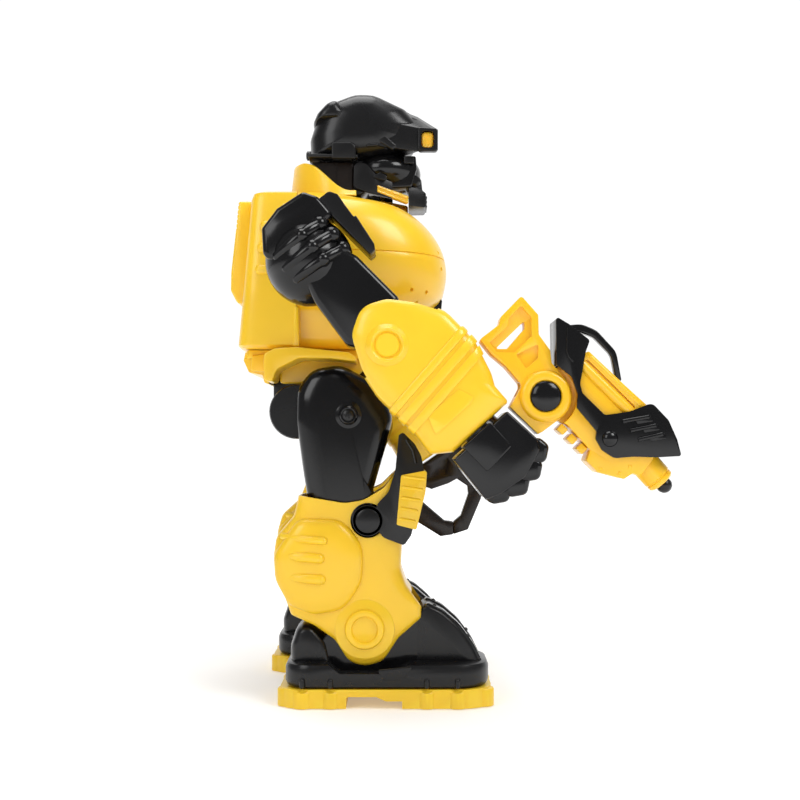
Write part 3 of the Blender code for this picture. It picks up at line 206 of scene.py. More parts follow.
def round_edges(piece, width, segments=3, angle=35):
    modifier = piece.modifiers.new("Bevel", "BEVEL")
    modifier.width = width * MM
    modifier.segments = segments
    modifier.limit_method = "ANGLE"
    modifier.angle_limit = math.radians(angle)
    modifier.use_clamp_overlap = True
    return settle(piece)


def combine(piece, operation, tools):
    for tool in tools:
        modifier = piece.modifiers.new("Boolean", "BOOLEAN")
        modifier.operation = operation
        modifier.object = tool
        modifier.solver = "EXACT"
        settle(piece)
        bpy.data.objects.remove(tool, do_unlink=True)
    return piece


def cut(piece, *tools):
    return combine(piece, "DIFFERENCE", tools)


def join(piece, *tools):
    return combine(piece, "UNION", tools)


def overlap(piece, *tools):
    return combine(piece, "INTERSECT", tools)


def fillet(corners):
    """Round the corners of a closed outline of (a, b, radius)."""
    points = []
    count = len(corners)
    for index, (a, b, radius) in enumerate(corners):
        here = Vector((a, b))
        before = Vector(corners[index - 1][:2]) - here
        after = Vector(corners[(index + 1) % count][:2]) - here
        angle = before.angle(after)
        if radius <= 0 or angle > math.radians(176):
            points.append(here)
            continue
        run = min(radius / math.tan(angle / 2), 0.48 * before.length, 0.48 * after.length)
        start = here + before.normalized() * run
        end = here + after.normalized() * run
        centre = here + (before.normalized() + after.normalized()).normalized() * (
            math.hypot(run * math.tan(angle / 2), run))
        turn = math.pi - angle
        pieces = max(1, math.ceil(math.degrees(turn) / ARC_STEP))
        first = start - centre
        sense = 1 if first.x * (end - centre).y - first.y * (end - centre).x > 0 else -1
        for k in range(pieces + 1):
            c, s = math.cos(sense * turn * k / pieces), math.sin(sense * turn * k / pieces)
            points.append(centre + Vector((first.x * c - first.y * s, first.x * s + first.y * c)))
    return points


def closed_skin(bm, rows):
    """Side faces between rows of points round a solid, then its two ends."""
    count = len(rows[0])
    for lower, upper in zip(rows, rows[1:]):
        for k in range(count):
            nxt = (k + 1) % count
            bm.faces.new((lower[k], lower[nxt], upper[nxt], upper[k]))
    bm.faces.new(rows[0])
    bm.faces.new(rows[-1])
    bmesh.ops.recalc_face_normals(bm, faces=bm.faces)


def circle(axis, radius, count=32):
    return [(axis[0] + radius * math.cos(2 * math.pi * k / count),
             axis[1] + radius * math.sin(2 * math.pi * k / count), 0) for k in range(count)]


def prism(name, corners, low, high, material=None, soften=0.0, flat="Y", segments=3):
    """A rounded outline extruded between two values of y, or of z for a plan outline."""
    bm = bmesh.new()
    rows = []
    for level in (low, high):
        row = []
        for point in fillet(corners):
            spot = (point.x, level, point.y) if flat == "Y" else (point.x, point.y, level)
            row.append(bm.verts.new(spot))
        rows.append(row)
    bm.faces.new(rows[0])
    bm.faces.new(rows[1])
    count = len(rows[0])
    for k in range(count):
        nxt = (k + 1) % count
        bm.faces.new((rows[0][k], rows[0][nxt], rows[1][nxt], rows[1][k]))
    bmesh.ops.recalc_face_normals(bm, faces=bm.faces)
    piece = piece_from(bm, name, material)
    if soften > 0:
        round_edges(piece, soften, segments)
    return piece


def block(name, low, high, material=None, soften=0.0):
    corners = [(low[0], low[2], 0), (high[0], low[2], 0), (high[0], high[2], 0), (low[0], high[2], 0)]
    return prism(name, corners, low[1], high[1], material, soften)


def lathe(name, profile, point, direction, material=None, steps=40):
    """A turned piece from (radius, height) points, the height along the direction."""
    turn = Vector(direction).to_track_quat("Z", "Y").to_matrix().to_4x4()
    place = Matrix.Translation(Vector(point)) @ turn
    bm = bmesh.new()
    rows = []
    for radius, height in profile:
        if radius < 0.001:
            rows.append([bm.verts.new(place @ Vector((0, 0, height)))])
            continue
        rows.append([bm.verts.new(place @ Vector((radius * math.cos(2 * math.pi * k / steps),
                                                  radius * math.sin(2 * math.pi * k / steps), height)))
                     for k in range(steps)])
    for lower, upper in zip(rows, rows[1:]):
        for k in range(steps):
            nxt = (k + 1) % steps
            ring = [lower[k % len(lower)], lower[nxt % len(lower)], upper[nxt % len(upper)],
                    upper[k % len(upper)]]
            corners = list(dict.fromkeys(ring))
            if len(corners) > 2:
                bm.faces.new(corners)
    bmesh.ops.recalc_face_normals(bm, faces=bm.faces)
    return piece_from(bm, name, material)


def capsule(name, start, end, radius, material=None, steps=20):
    """A round bar with hemispherical ends."""
    start, end = Vector(start), Vector(end)
    length = (end - start).length
    profile = [(radius * math.sin(math.radians(a)),
                -radius * math.cos(math.radians(a))) for a in range(0, 91, 15)]
    profile += [(radius * math.cos(math.radians(a)), length + radius * math.sin(math.radians(a)))
                for a in range(0, 91, 15)]
    return lathe(name, profile, start, end - start, material, steps)


def dome(name, centre, radii, material=None):
    bm = bmesh.new()
    bmesh.ops.create_uvsphere(bm, u_segments=40, v_segments=24, radius=1.0)
    bmesh.ops.scale(bm, vec=radii, verts=bm.verts)
    bmesh.ops.translate(bm, vec=centre, verts=bm.verts)
    return piece_from(bm, name, material)


def tube(name, points, radius, material=None, resolution=4):
    """A round rib along a path."""
    curve = bpy.data.curves.new(name, "CURVE")
    curve.dimensions = "3D"
    curve.bevel_depth = radius * MM
    curve.bevel_resolution = resolution
    curve.use_fill_caps = True
    spline = curve.splines.new("POLY")
    spline.points.add(len(points) - 1)
    for target, point in zip(spline.points, points):
        target.co = (*(Vector(point) * MM), 1.0)
    guide = bpy.data.objects.new(name + "_guide", curve)
    bpy.context.scene.collection.objects.link(guide)
    bpy.context.view_layer.update()
    mesh = bpy.data.meshes.new_from_object(guide.evaluated_get(bpy.context.evaluated_depsgraph_get()))
    bpy.data.objects.remove(guide, do_unlink=True)
    bm = bmesh.new()
    bm.from_mesh(mesh)
    bmesh.ops.remove_doubles(bm, verts=bm.verts, dist=0.00001)
    bmesh.ops.scale(bm, vec=(1 / MM, 1 / MM, 1 / MM), verts=bm.verts)
    return piece_from(bm, name, material, 50)


def pod(name, corners, y_seam, y_face, material=None, fullness=0.25, grow=0.0, rings=10, end=76.0):
    """One moulded half: a side outline that rises from its seam and rounds over to a nearly flat face."""
    outline = fillet(corners)
    centre = sum(outline, Vector((0, 0))) / len(outline)
    outline = [point + (point - centre).normalized() * grow for point in outline]
    outward = 1 if y_face > y_seam else -1
    levels = [(1.0, 0.0), (1.0, 0.15)]
    for k in range(1, rings + 1):
        angle = math.radians(end) * (k / rings) ** 1.5
        levels.append((math.cos(angle) ** fullness, max(0.16, math.sin(angle) ** fullness)))
    top = levels[-1][1]
    bm = bmesh.new()
    rows = []
    for shrink, rise in levels:
        y = y_seam + (y_face + outward * grow - y_seam) * rise / top
        spots = [centre + (point - centre) * shrink for point in outline]
        rows.append([bm.verts.new((spot.x, y, spot.y)) for spot in spots])
    closed_skin(bm, rows)
    return piece_from(bm, name, material)


def loft(name, sections, material=None, soften=0.0):
    """A closed solid through sections that have the same number of points."""
    bm = bmesh.new()
    closed_skin(bm, [[bm.verts.new(point) for point in section] for section in sections])
    piece = piece_from(bm, name, material)
    if soften > 0:
        round_edges(piece, soften)
    return piece


def moved(pieces, pivot, target, degrees):
    """Swing pieces in the side view about pivot and carry the pivot to target; positive lifts the front."""
    start = Vector((pivot[0], 0, pivot[1])) * MM
    finish = Vector((target[0], 0, target[1])) * MM
    change = Matrix.Translation(finish) @ Matrix.Rotation(-math.radians(degrees), 4,
                                                          "Y") @ Matrix.Translation(-start)
    for piece in pieces:
        piece.data.transform(change)


def dress(pieces, body, replaced=()):
    """Let pieces ride on a body and hide the CAD nodes that they replace."""
    for piece in pieces:
        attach(piece, body)
    if replaced:
        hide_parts(*replaced)


# ---------------------------------------------------------------- torso

SEAM_X = -69.7


def body_rows(sections, x_seam, squareness, columns):
    """Rows of points over one side of a frontal seam; each section is (z, x reach, half width)."""
    power = 2.0 / squareness
    rows = []
    for z, reach, half_width in sections:
        row = []
        for k in range(columns + 1):
            angle = math.pi * (k / columns - 0.5)
            out = abs(math.cos(angle)) ** power if 0 < k < columns else 0.0
            across = math.copysign(abs(math.sin(angle)) ** power, math.sin(angle))
            row.append(Vector((x_seam + (reach - x_seam) * out, half_width * across, z)))
        rows.append(row)
    return rows


def smooth_sections(sections):
    """Sections between the given ones, on a smooth curve through them."""
    result = []
    for index in range(len(sections) - 1):
        ends = [Vector(sections[max(0, min(len(sections) - 1, index + k))]) for k in (-1, 0, 1, 2)]
        for step in range(CURVE_STEPS):
            t = step / CURVE_STEPS
            spot = 0.5 * ((2 * ends[1]) + (ends[2] - ends[0]) * t
                          + (2 * ends[0] - 5 * ends[1] + 4 * ends[2] - ends[3]) * t * t
                          + (3 * ends[1] - ends[0] - 3 * ends[2] + ends[3]) * t ** 3)
            result.append(spot)
    result.append(Vector(sections[-1]))
    return result


def grooved(sections, height):
    """Add a thin groove round the sections at a height."""
    depth, half = 0.45, 0.35
    below = [s for s in sections if s.x < height - half - 0.2]
    above = [s for s in sections if s.x > height + half + 0.2]
    middle = (below[-1] + above[0]) / 2
    rows = []
    for offset, sunk in ((-half, 0.0), (-half * 0.5, depth), (half * 0.5, depth), (half, 0.0)):
        rows.append(Vector((height + offset, middle.y - sunk, middle.z - sunk)))
    return below + rows + above


def half_shell(name, rows, sharp):
    """A torso half through rows of points, flat at its top, bottom and seam."""
    bm = bmesh.new()
    grid = [[bm.verts.new(spot) for spot in row] for row in rows]
    for lower, upper in zip(grid, grid[1:]):
        for k in range(len(lower) - 1):
            bm.faces.new((lower[k], lower[k + 1], upper[k + 1], upper[k]))
    bm.faces.new(grid[0])
    bm.faces.new(grid[-1])
    bm.faces.new([row[0] for row in grid] + [row[-1] for row in reversed(grid)])
    bmesh.ops.recalc_face_normals(bm, faces=bm.faces)
    return piece_from(bm, name, YELLOW, sharp)


def chest():
    """Domed front half with a seam groove, screw dimples and an opening for the belly panel."""
    sections = [(169.2, -20.0, 33.5), (172.0, -14.5, 37.0), (186.0, -8.0, 40.0), (190.0, -4.5, 44.0),
                (196.5, 1.3, 48.0), (209.5, 3.8, 50.5), (221.5, 1.0, 50.5), (232.0, -6.5, 49.0),
                (240.0, -17.5, 45.0), (243.8, -32.0, 38.5), (246.4, -42.0, 31.0)]
    fine = grooved(smooth_sections(sections), 215.0)
    rows = body_rows(fine, SEAM_X, 3.0, 48)
    shell = half_shell("chest_shell", rows, 45)
    power = 2.0 / 3.0
    for x, z in ((-14.6, 197.5), (-7.2, 197.0), (-12.0, 191.8), (-0.8, 217.6), (0.6, 209.5)):
        level = min(fine, key=lambda s: abs(s.x - z))
        out = min(0.999, (x - SEAM_X) / (level.y - SEAM_X))
        across = (1 - (out ** (1 / power)) ** 2) ** (power / 2) * level.z
        for side in (RIGHT, LEFT):
            cut(shell, dome("dimple_tool", (x, side * across, z), (1.1, 1.1, 1.1)))
    cut(shell, block("belly_tool", (-16, -10.6, 177.6), (8, 10.6, 198.2)))
    dress([shell], "torso", ["torso_front_shell"])


def backpack():
    """Square rear shell with side bars, a stepped corner strip and the ribbed battery door."""
    sections = [(169.2, -98.2, 42.0), (170.4, -99.4, 43.6), (189.0, -97.6, 44.4), (241.0, -93.0, 43.4),
                (243.8, -92.0, 42.6), (244.7, -90.0, 40.6)]
    rows = body_rows([Vector(s) for s in sections], SEAM_X - 0.2, 9.0, 40)
    shell = half_shell("backpack_shell", rows, 35)
    cut(shell, block("switch_tool", (-104, 8.9, 177.2), (-94.5, 19.1, 183.8)))
    dress([shell], "torso", ["torso_rear_shell"])
    trim = []
    for side, tag in SIDES:
        for number, (x, z) in enumerate(((-87.3, 227.7), (-88.9, 216.9), (-89.9, 206.6)), start=1):
            trim.append(capsule(f"side_bar_{number}_{tag}", (x + 2.6, side * 42.9, z),
                                (-68.0, side * 42.9, z), 2.7, YELLOW))
        trim.append(capsule(f"top_bar_{tag}", (-76.0, side * 41.8, 237.0), (-68.5, side * 41.8, 237.0), 2.2,
                            YELLOW))
        trim.append(prism(f"corner_strip_{tag}",
                          [(-71.4, 169.4, 0), (-68.4, 169.4, 0), (-68.8, 188.5, 0), (-70.8, 188.5, 0)],
                          side * 40, side * 45.4, YELLOW, 0.7))
    dress(trim, "torso")
    door_corners = [(-95.6, 192.2, 0), (-100.9, 192.4, 2.5), (-104.3, 198.8, 4), (-104.1, 208, 8),
                    (-101.6, 230.2, 6), (-100.4, 243.3, 1.5), (-93.5, 243.3, 0)]
    door = prism("door_shell", door_corners, -25.6, 25.6, YELLOW, 1.4)
    for k in range(6):
        z = 229.6 + 2.3 * k
        x = -101.7 + 0.11 * (z - 229.6)
        cut(door, block("door_groove_tool", (x - 4, -30, z), (x + 0.55, 30, z + 0.9)))
    latch = prism("door_latch", [(-103.4, 234, 1), (-100.4, 242.4, 1), (-97, 242.4, 0), (-97, 234, 0)], -6,
                  6, YELLOW, 0.6)
    dress([door, latch], "torso", ["battery_door"])


def collar():
    """Raised wall round the neck, high behind and sweeping down to its front ends."""
    columns, levels = 56, 8
    bm = bmesh.new()
    outer, inner = [], []
    for level in range(levels + 1):
        share = level / levels
        rows = ([], [])
        for k in range(columns + 1):
            angle = math.pi * (0.47 + 1.06 * k / columns)
            behind = max(0.0, -math.cos(angle))
            ease = min(1.0, 1.18 * behind)
            height = 0.9 + 16.2 * ease * ease * (3 - 2 * ease)
            for thickness, row in zip((0.0, 2.4), rows):
                lean = 1.0 - 0.07 * share
                row.append(bm.verts.new((-44.5 + (32.5 * lean - thickness) * math.cos(angle),
                                         (30.6 * lean - thickness) * math.sin(angle),
                                         245.2 + (height + 2.0) * share)))
        outer.append(rows[0])
        inner.append(rows[1])
    for rows in (outer, inner):
        for lower, upper in zip(rows, rows[1:]):
            for k in range(columns):
                bm.faces.new((lower[k], lower[k + 1], upper[k + 1], upper[k]))
    for k in range(columns):
        bm.faces.new((outer[-1][k], outer[-1][k + 1], inner[-1][k + 1], inner[-1][k]))
        bm.faces.new((outer[0][k], outer[0][k + 1], inner[0][k + 1], inner[0][k]))
    for k in (0, columns):
        for level in range(levels):
            bm.faces.new((outer[level][k], outer[level + 1][k], inner[level + 1][k], inner[level][k]))
    bmesh.ops.recalc_face_normals(bm, faces=bm.faces)
    wall = round_edges(piece_from(bm, "collar_wall", YELLOW), 0.8)
    dress([wall], "torso", ["collar_ring"])


def belly():
    """Grooved panel in the chest's opening."""
    panel = prism("belly_panel", [(-13.8, 178.5, 1), (-4.5, 180, 2), (1.0, 190, 3), (1.6, 196, 1),
                                  (-1.5, 197.6, 0.5), (-12, 197.6, 1)], -10, 10, SATIN, 0.8)
    for k in range(4):
        cut(panel, block("belly_groove_tool", (-4.6 + 1.4 * k, -8, 182.2 + 3.6 * k),
                         (4, 8, 183.4 + 3.6 * k)))
    dress([panel], "torso", ["abdomen_panel"])


def pelvis():
    """Plate, tail and hip skirts under the torso."""
    plate = prism("pelvis_body", [(-96.3, -29, 4), (-20, -30, 10), (-20, 30, 10), (-96.3, 29, 4)], 164.8,
                  168.8, YELLOW, 0.0, "Z")
    tail = prism("tail_tool", [(-96.8, 168.0, 0), (-97.7, 164, 1.5), (-95, 158, 1.5), (-88.2, 156.8, 1),
                               (-87.4, 152.9, 1.2), (-85.2, 152.4, 0), (-85.2, 168.0, 0)], -26, 26)
    join(plate, tail)
    cut(plate, block("gearbox_tool", (-84.9, -21, 150), (-27.6, 21, 164.8)))
    round_edges(plate, 0.7)
    pieces = [plate]
    for side, tag in SIDES:
        lip = prism(f"hip_skirt_{tag}", [(-85.0, 160.2, 2), (-84.8, 165.6, 2), (-79.7, 168.2, 2),
                                         (-69.5, 168.8, 3), (-44.3, 166.2, 2), (-40.6, 163.6, 1),
                                         (-41.2, 161.8, 0.8), (-53.3, 163.2, 4), (-68, 163.6, 6),
                                         (-79, 158.0, 5), (-80.6, 152.6, 1.4), (-84.6, 152.6, 1.2)],
                    side * 24, side * 50, YELLOW, 0.9)
        flank = prism(f"pelvis_flank_{tag}", [(-79.6, 167, 1), (-79.4, 152.6, 1.2), (-67, 152.4, 3),
                                              (-40, 157, 6), (-32, 167, 1)], side * 21.2, side * 27.3,
                      YELLOW, 0.8)
        pieces.append(flank)
        rib = prism(f"skirt_rib_{tag}", [(-93.6, 158.6, 1), (-93.2, 166.2, 1), (-86.4, 167.2, 1),
                                         (-86.4, 158.0, 1)], side * 26.5, side * 30.5, YELLOW, 0.8)
        pieces += [lip, rib]
    dress(pieces, "torso", ["pelvis_shell"])


def gearbox():
    """Open-topped case with a round rear end round the crank."""
    def outline(inset):
        return [(-83.4 + inset, 164.2, 0), (-83.4 + inset, 125.8 + inset, 12.8 - inset),
                (-30 - inset, 125.8 + inset, 10 - inset), (-28 - inset, 164.2, 0)]
    case = prism("gearbox_body", outline(0), -20.5, 20.5, SATIN)
    room = prism("gear_room_tool", [(x, z + (3 if z > 160 else 0), r) for x, z, r in outline(1.5)], -19.0,
                 19.0)
    crank = side_view("crank_spin")
    cut(case, room, prism("crank_tool", circle(crank, 3.5), -30, 30),
        prism("axle_tool", circle(HIP, 2.8), -30, 30))
    round_edges(case, 0.5, 2)
    dress([case], "torso", ["gearbox_case"])


# ---------------------------------------------------------------- head

def two_domed_halves(name, corners, half_width):
    halves = [pod(name, corners, 0.0, side * half_width, SATIN, 0.55, 0.0, 12,
                  84.0) for side in (RIGHT, LEFT)]
    return join(*halves)


def lamp_square(margin, radius):
    """The lamp's outline, grown by a margin; it is a little taller than it is wide."""
    low_x, high_x, low_z, high_z = -9.4 - margin, -3.0 + margin, 270.6 - margin, 279.0 + margin
    return [(low_x, low_z, radius), (high_x, low_z, radius), (high_x, high_z, radius),
            (low_x, high_z, radius)]


def helmet():
    """Crested skull, roofed brow box with the lamp, ear boxes and a rear plate."""
    corners = [(-65.3, 266, 2), (-66, 277, 5), (-62.5, 288, 5), (-55.5, 295.7, 8), (-43, 300.4, 14),
               (-33, 300.2, 14), (-16.7, 292.5, 6), (-9, 284, 2), (-13, 275, 2), (-25, 268.4, 3),
               (-42, 265.6, 2)]
    skull = two_domed_halves("helmet_skull", corners, 23.2)
    # x, half widths of the lamp's side and the far side, their lower edges, side top, ridge
    brow_stations = ((-46, 20.5, 20.5, 277, 277, 286.8, 298.8),
                     (-30, 21.8, 20.5, 271.5, 273, 284.6, 298.2),
                     (-11, 21.8, 10.0, 268.8, 279.4, 280.8, 291.0),
                     (-1.0, 21.4, 0.5, 269.2, 283.0, 280.2, 284.9))
    sections = []
    for x, near, far, low, far_low, side_top, ridge in brow_stations:
        far_top = max(side_top, far_low + 0.6)
        sections.append([(x, -near, low), (x, -near, side_top), (x, -near + 8, ridge - 4.0),
                         (x, -near + 15, ridge - 0.6), (x, far * 0.3 - 2, ridge - 0.6),
                         (x, far * 0.65, ridge - 1.0), (x, far, far_top), (x, far, far_low)])
    brow = loft("brow_box", sections, SATIN, 1.1)
    cut(brow, prism("lamp_tool", lamp_square(0.0, 1.6), -30, -16))
    plate = two_domed_halves("rear_plate", [(-64.6, 283.6, 1), (-62.6, 288.6, 4), (-56.9, 294.8, 8),
                                            (-51.4, 296.9, 4), (-45.5, 289.0, 1), (-47.5, 284.6, 1)], 23.5)
    crest = prism("crest_band", [(-51.5, 292, 1), (-50.5, 297.8, 4), (-43.0, 300.9, 12), (-33, 300.9, 12),
                                 (-22.7, 297.3, 10), (-8, 289.0, 4), (-12, 284, 2), (-30, 290, 2)], -4.5,
                  4.5, SATIN, 1.2)
    pieces = [skull, brow, plate, crest]
    for side, tag in SIDES:
        if side == RIGHT:
            frame_ring = prism("lamp_frame", [(-11.0, 268.9, 1.6), (-1.2, 268.9, 1.4), (-1.0, 280.2, 1.4),
                                              (-11.0, 280.9, 1.6)], -18.5, -22.7, SATIN, 0.5)
            cut(frame_ring, prism("lamp_tool", lamp_square(0.0, 2), -30, -16))
            pieces.append(frame_ring)
        ear = prism(f"ear_box_{tag}", [(-54.0, 264.8, 0.5), (-42.2, 264.8, 0.5), (-42.2, 272.8, 3),
                                       (-54.0, 272.8, 0.8)], side * 18, side * 24.6, SATIN, 0.7)
        ridge = prism(f"temple_ridge_{tag}", [(-43.5, 285.5, 1), (-34, 283, 1), (-21, 271.6, 1),
                                              (-24, 269.6, 1), (-43.5, 281.5, 1)], side * 17.5, side * 22.4,
                      SATIN, 1.0)
        band = prism(f"skull_rim_{tag}", [(-66.0, 265.8, 0.6), (-41.0, 265.4, 0.6), (-41.0, 267.2, 0.6),
                                          (-66.0, 267.8, 0.6)], side * 8, side * 22.6, SATIN, 0.6)
        vents = [capsule(f"vent_{k}_{tag}", (-36.0, side * 21.6, 275.2 - 3.2 * k),
                         (-31.6, side * 21.6, 275.6 - 3.2 * k), 0.9, GLOSS) for k in range(2)]
        pieces += [ear, ridge, band, *vents]
    bolt = lathe("rear_bolt", [(0, 3.4), (1.6, 3.4), (2.4, 2.8), (2.4, 1.2), (3.0, 0.9), (3.0, 0), (0, 0)],
                 (-65.2, 0, 272.0), (-1, 0, 0), SATIN)
    dress(pieces + [bolt], "head", ["helmet_shell"])
    lens = prism("lamp_glass", lamp_square(-0.1, 2), -16.5, -21.3, AMBER, 1.0)
    dress([lens], "head", ["lamp_lens"])


def face():
    """Goggle dome, cheeks, neck plates, chin block and the amber mouth bar."""
    mask = prism("face_core", [(-62, 265.0, 1), (-12, 268.6, 1), (-11.5, 262, 3), (-14, 252.6, 2),
                               (-36, 251.6, 1), (-40, 248.4, 1), (-60, 248.4, 2)], -14.6, 14.6, GLOSS, 1.2)
    goggle = dome("goggle_dome", (-27.5, 0, 262.0), (18.2, 20.6, 11.0), GLOSS)
    pieces = [mask, goggle]
    for side, tag in SIDES:
        plate = prism(f"neck_plate_{tag}", [(-64.6, 264.8, 1), (-43.6, 264.6, 1), (-43.6, 249.4, 1.5),
                                            (-50, 247.6, 1.5), (-62.5, 249.5, 1.5)], side * 10, side * 17.2,
                      BROWN, 0.7)
        cut(plate, block("seam_tool", (-52.2, side * 17.2 - 0.5, 245), (-51.6, side * 17.2 + 0.5, 266)))
        glint = block(f"visor_pane_{tag}", (-18.0, side * 16.6 - 0.6, 264.0),
                      (-13.0, side * 16.6 + 0.6, 267.8), SATIN, 0.4)
        strut = block(f"cheek_strut_{tag}", (-29.6, side * 17.2 - 1.2, 257.6),
                      (-27.6, side * 17.2 + 1.2, 264.4), SATIN, 0.5)
        pieces += [plate, glint, strut]
        for k in range(3):
            pieces.append(capsule(f"cheek_fin_{k}_{tag}", (-35.4 + 0.8 * k, side * 18.0, 258.2 + 1.5 * k),
                                  (-31.2 + 0.8 * k, side * 18.0, 258.8 + 1.5 * k), 0.45, SATIN, 12))
    dress(pieces, "head", ["face_mask"])
    jaw = prism("jaw_frame", [(-43, 264.2, 5), (-37, 263.4, 4), (-31.5, 257, 2), (-24, 254.8, 2),
                              (-13.5, 252.6, 1.5), (-11, 257.5, 2), (-9.2, 257.5, 2), (-8.6, 251.8, 1),
                              (-6.7, 250.5, 1), (-6.8, 243.2, 1.2), (-14, 243.6, 1), (-24, 246.2, 1),
                              (-36, 248.9, 1), (-43.4, 251.6, 2)], -19.7, 19.7, SATIN)
    cut(jaw, block("jaw_tool", (-50, -16.4, 238), (-15.5, 16.4, 272)))
    overlap(jaw, prism("taper_tool", [(-60, -24, 0), (-33, -19.9, 0), (-6.2, -9.6, 3), (-6.2, 9.6, 3),
                                      (-33, 19.9, 0), (-60, 24, 0)], 230, 280, None, 0.0, "Z"))
    round_edges(jaw, 0.6)
    chin = [jaw]
    for k in range(3):
        chin.append(block(f"chin_rib_{k}", (-7.2, -7, 243.9 + 2.3 * k), (-6.1, 7, 245.1 + 2.3 * k), SATIN,
                          0.3))
    for side, tag in SIDES:
        chin.append(lathe(f"face_knob_{tag}", [(0, 2.6), (1.7, 2.6), (2.6, 1.8), (3.0, 0.9), (3.0, -2),
                                               (0, -2)], (-12.4, side * 11.4, 256.2), (0, side, 0), SATIN,
                          24))
        chin.append(prism(f"jaw_brow_{tag}", [(-34.6, 256.4, 0.8), (-27.6, 254.6, 0.8), (-26.2, 256.8, 0.8),
                                              (-30, 259, 0.8)], side * 17, side * 20.2, SATIN, 0.5))
    dress(chin, "head", ["jaw_guard"])
    bars = []
    for side, tag in SIDES:
        bar = prism(f"mouth_bar_{tag}", [(-31.8, 253.1, 0.8), (-14.6, 248.5, 0.8), (-14.6, 244.2, 0.8),
                                         (-31.8, 248.9, 0.8)], side * 17.4, side * 19.9, AMBER, 0.5)
        bars.append(bar)
        for k in range(2):
            bars.append(capsule(f"mouth_ridge_{k}_{tag}", (-31.0, side * 19.7, 251.8 - 2.2 * k),
                                (-15.4, side * 19.7, 247.4 - 2.2 * k), 0.65, AMBER, 12))
    for side, tag in SIDES:
        hinge = Vector((-33.0, side * 19.2, 0)) * MM
        toe_in = Matrix.Translation(hinge) @ Matrix.Rotation(side * math.radians(-21.0), 4,
                                                             "Z") @ Matrix.Translation(-hinge)
        for bar in bars:
            if bar.name.endswith(tag):
                bar.data.transform(toe_in)
    dress(bars, "head", ["mouth_grille"])


# ---------------------------------------------------------------- arms

def on_ball(x, z, side, radius, lift):
    """A point on the shoulder ball's outer side."""
    away = Vector((x, z)) - SHOULDER
    depth = math.sqrt(max(1.0, radius * radius - away.length_squared))
    return Vector((x, side * (SHOULDER_Y + depth + lift), z))


def upper_arm(side, tag):
    """Ball shoulder with knuckle-like ribs, a rear cap, an epaulette and the tapered arm."""
    ball_radius = 20.0
    ball = dome(f"shoulder_ball_{tag}", (SHOULDER.x, side * SHOULDER_Y, SHOULDER.y), (ball_radius,) * 3,
                GLOSS)
    neck = block("peg_tool", (SHOULDER.x - 8, side * 50, SHOULDER.y - 8),
                 (SHOULDER.x + 8, side * 61, SHOULDER.y + 8))
    cut(ball, neck)
    cap = prism(f"shoulder_cap_{tag}", [(-81.2, 217.8, 2), (-74.5, 226.6, 2), (-63, 234.2, 3),
                                        (-56.2, 231.8, 3), (-49.5, 224, 3), (-70, 202, 10),
                                        (-80.5, 205, 4)], side * (SHOULDER_Y - 12),
                side * (SHOULDER_Y + 13.5), GLOSS, 4.2)
    arm = prism(f"arm_shaft_{tag}", [(-52, 212, 6), (-39.0, 205.4, 4), (-20.6, 187.0, 3), (-20.0, 176, 5),
                                     (-27, 162, 8), (-43.8, 166.5, 4), (-57.5, 184.8, 5), (-62, 194, 5)],
                side * (ARM_Y - 12.2), side * (ARM_Y + 12.2), GLOSS, 2.6)
    epaulette = prism(f"epaulette_{tag}", [(-56.5, 231.0, 1), (-51.6, 234.8, 2), (-47.7, 233.4, 2),
                                           (-43.8, 227.8, 1), (-40.5, 223.4, 0.8), (-39.6, 224.0, 0.8),
                                           (-31.4, 211.4, 1), (-31.0, 208.8, 1), (-33.2, 206.6, 1),
                                           (-45.5, 219.0, 2), (-53, 226.6, 2)], side * (SHOULDER_Y - 9.5),
                      side * (SHOULDER_Y + 10.5), SATIN, 1.1)
    trims = []
    for k in range(3):
        trims.append(capsule(f"epaulette_stud_{k}_{tag}",
                             (-51.0 + 2.9 * k, side * (SHOULDER_Y - 7), 233.6 - 3.4 * k),
                             (-51.0 + 2.9 * k, side * (SHOULDER_Y + 8.6), 233.6 - 3.4 * k), 1.1, SATIN, 14))
    for number, (start, end) in enumerate((((-73.5, 205.5), (-55.6, 219.6)),
                                           ((-69.5, 200.0), (-50.2, 214.6)),
                                           ((-65.0, 195.6), (-45.6, 208.6))), start=1):
        path = []
        for k in range(13):
            t = k / 12
            x = start[0] + (end[0] - start[0]) * t
            z = start[1] + (end[1] - start[1]) * t
            path.append(on_ball(x, z, side, ball_radius, -2.9 + 2.6 * t ** 0.6))
        trims.append(tube(f"knuckle_rib_{number}_{tag}", path, 2.8, GLOSS, 6))
        for spot, radius in ((path[-1], 3.9), (path[7], 3.4), (path[0], 2.8)):
            trims.append(dome(f"knuckle_{number}_{tag}", spot, (radius, radius, radius), GLOSS))
    return [ball, arm, cap, epaulette, *trims]


FOREARM_CORNERS = [(-43, 171, 10), (-38.5, 184.0, 10), (-27, 187.6, 10), (-14, 186, 10), (0, 181.5, 12),
                   (13, 168.2, 12), (20.5, 153.5, 8), (22, 148, 2), (28, 141, 1.5), (3.6, 118.8, 1.5),
                   (-6.7, 117.8, 3), (-14, 127.5, 8), (-30, 143, 14), (-38, 155, 14)]
FOREARM_AXIS = Vector(next(j["axis"] for j in frame["joints"] if j["name"] == "wrist_right"))


def across_band(name, along, width, y_from, y_to):
    """A slab across the forearm, square to the forearm's axis, at a distance from the wrist."""
    axis = Vector((FOREARM_AXIS.x, FOREARM_AXIS.z))
    across = Vector((-axis.y, axis.x))
    spots = []
    for a, b in ((along, -50), (along + width, -50), (along + width, 50), (along, 50)):
        spot = WRIST + axis * a + across * b
        spots.append((spot.x, spot.y, 0))
    return prism(name, spots, y_from, y_to)


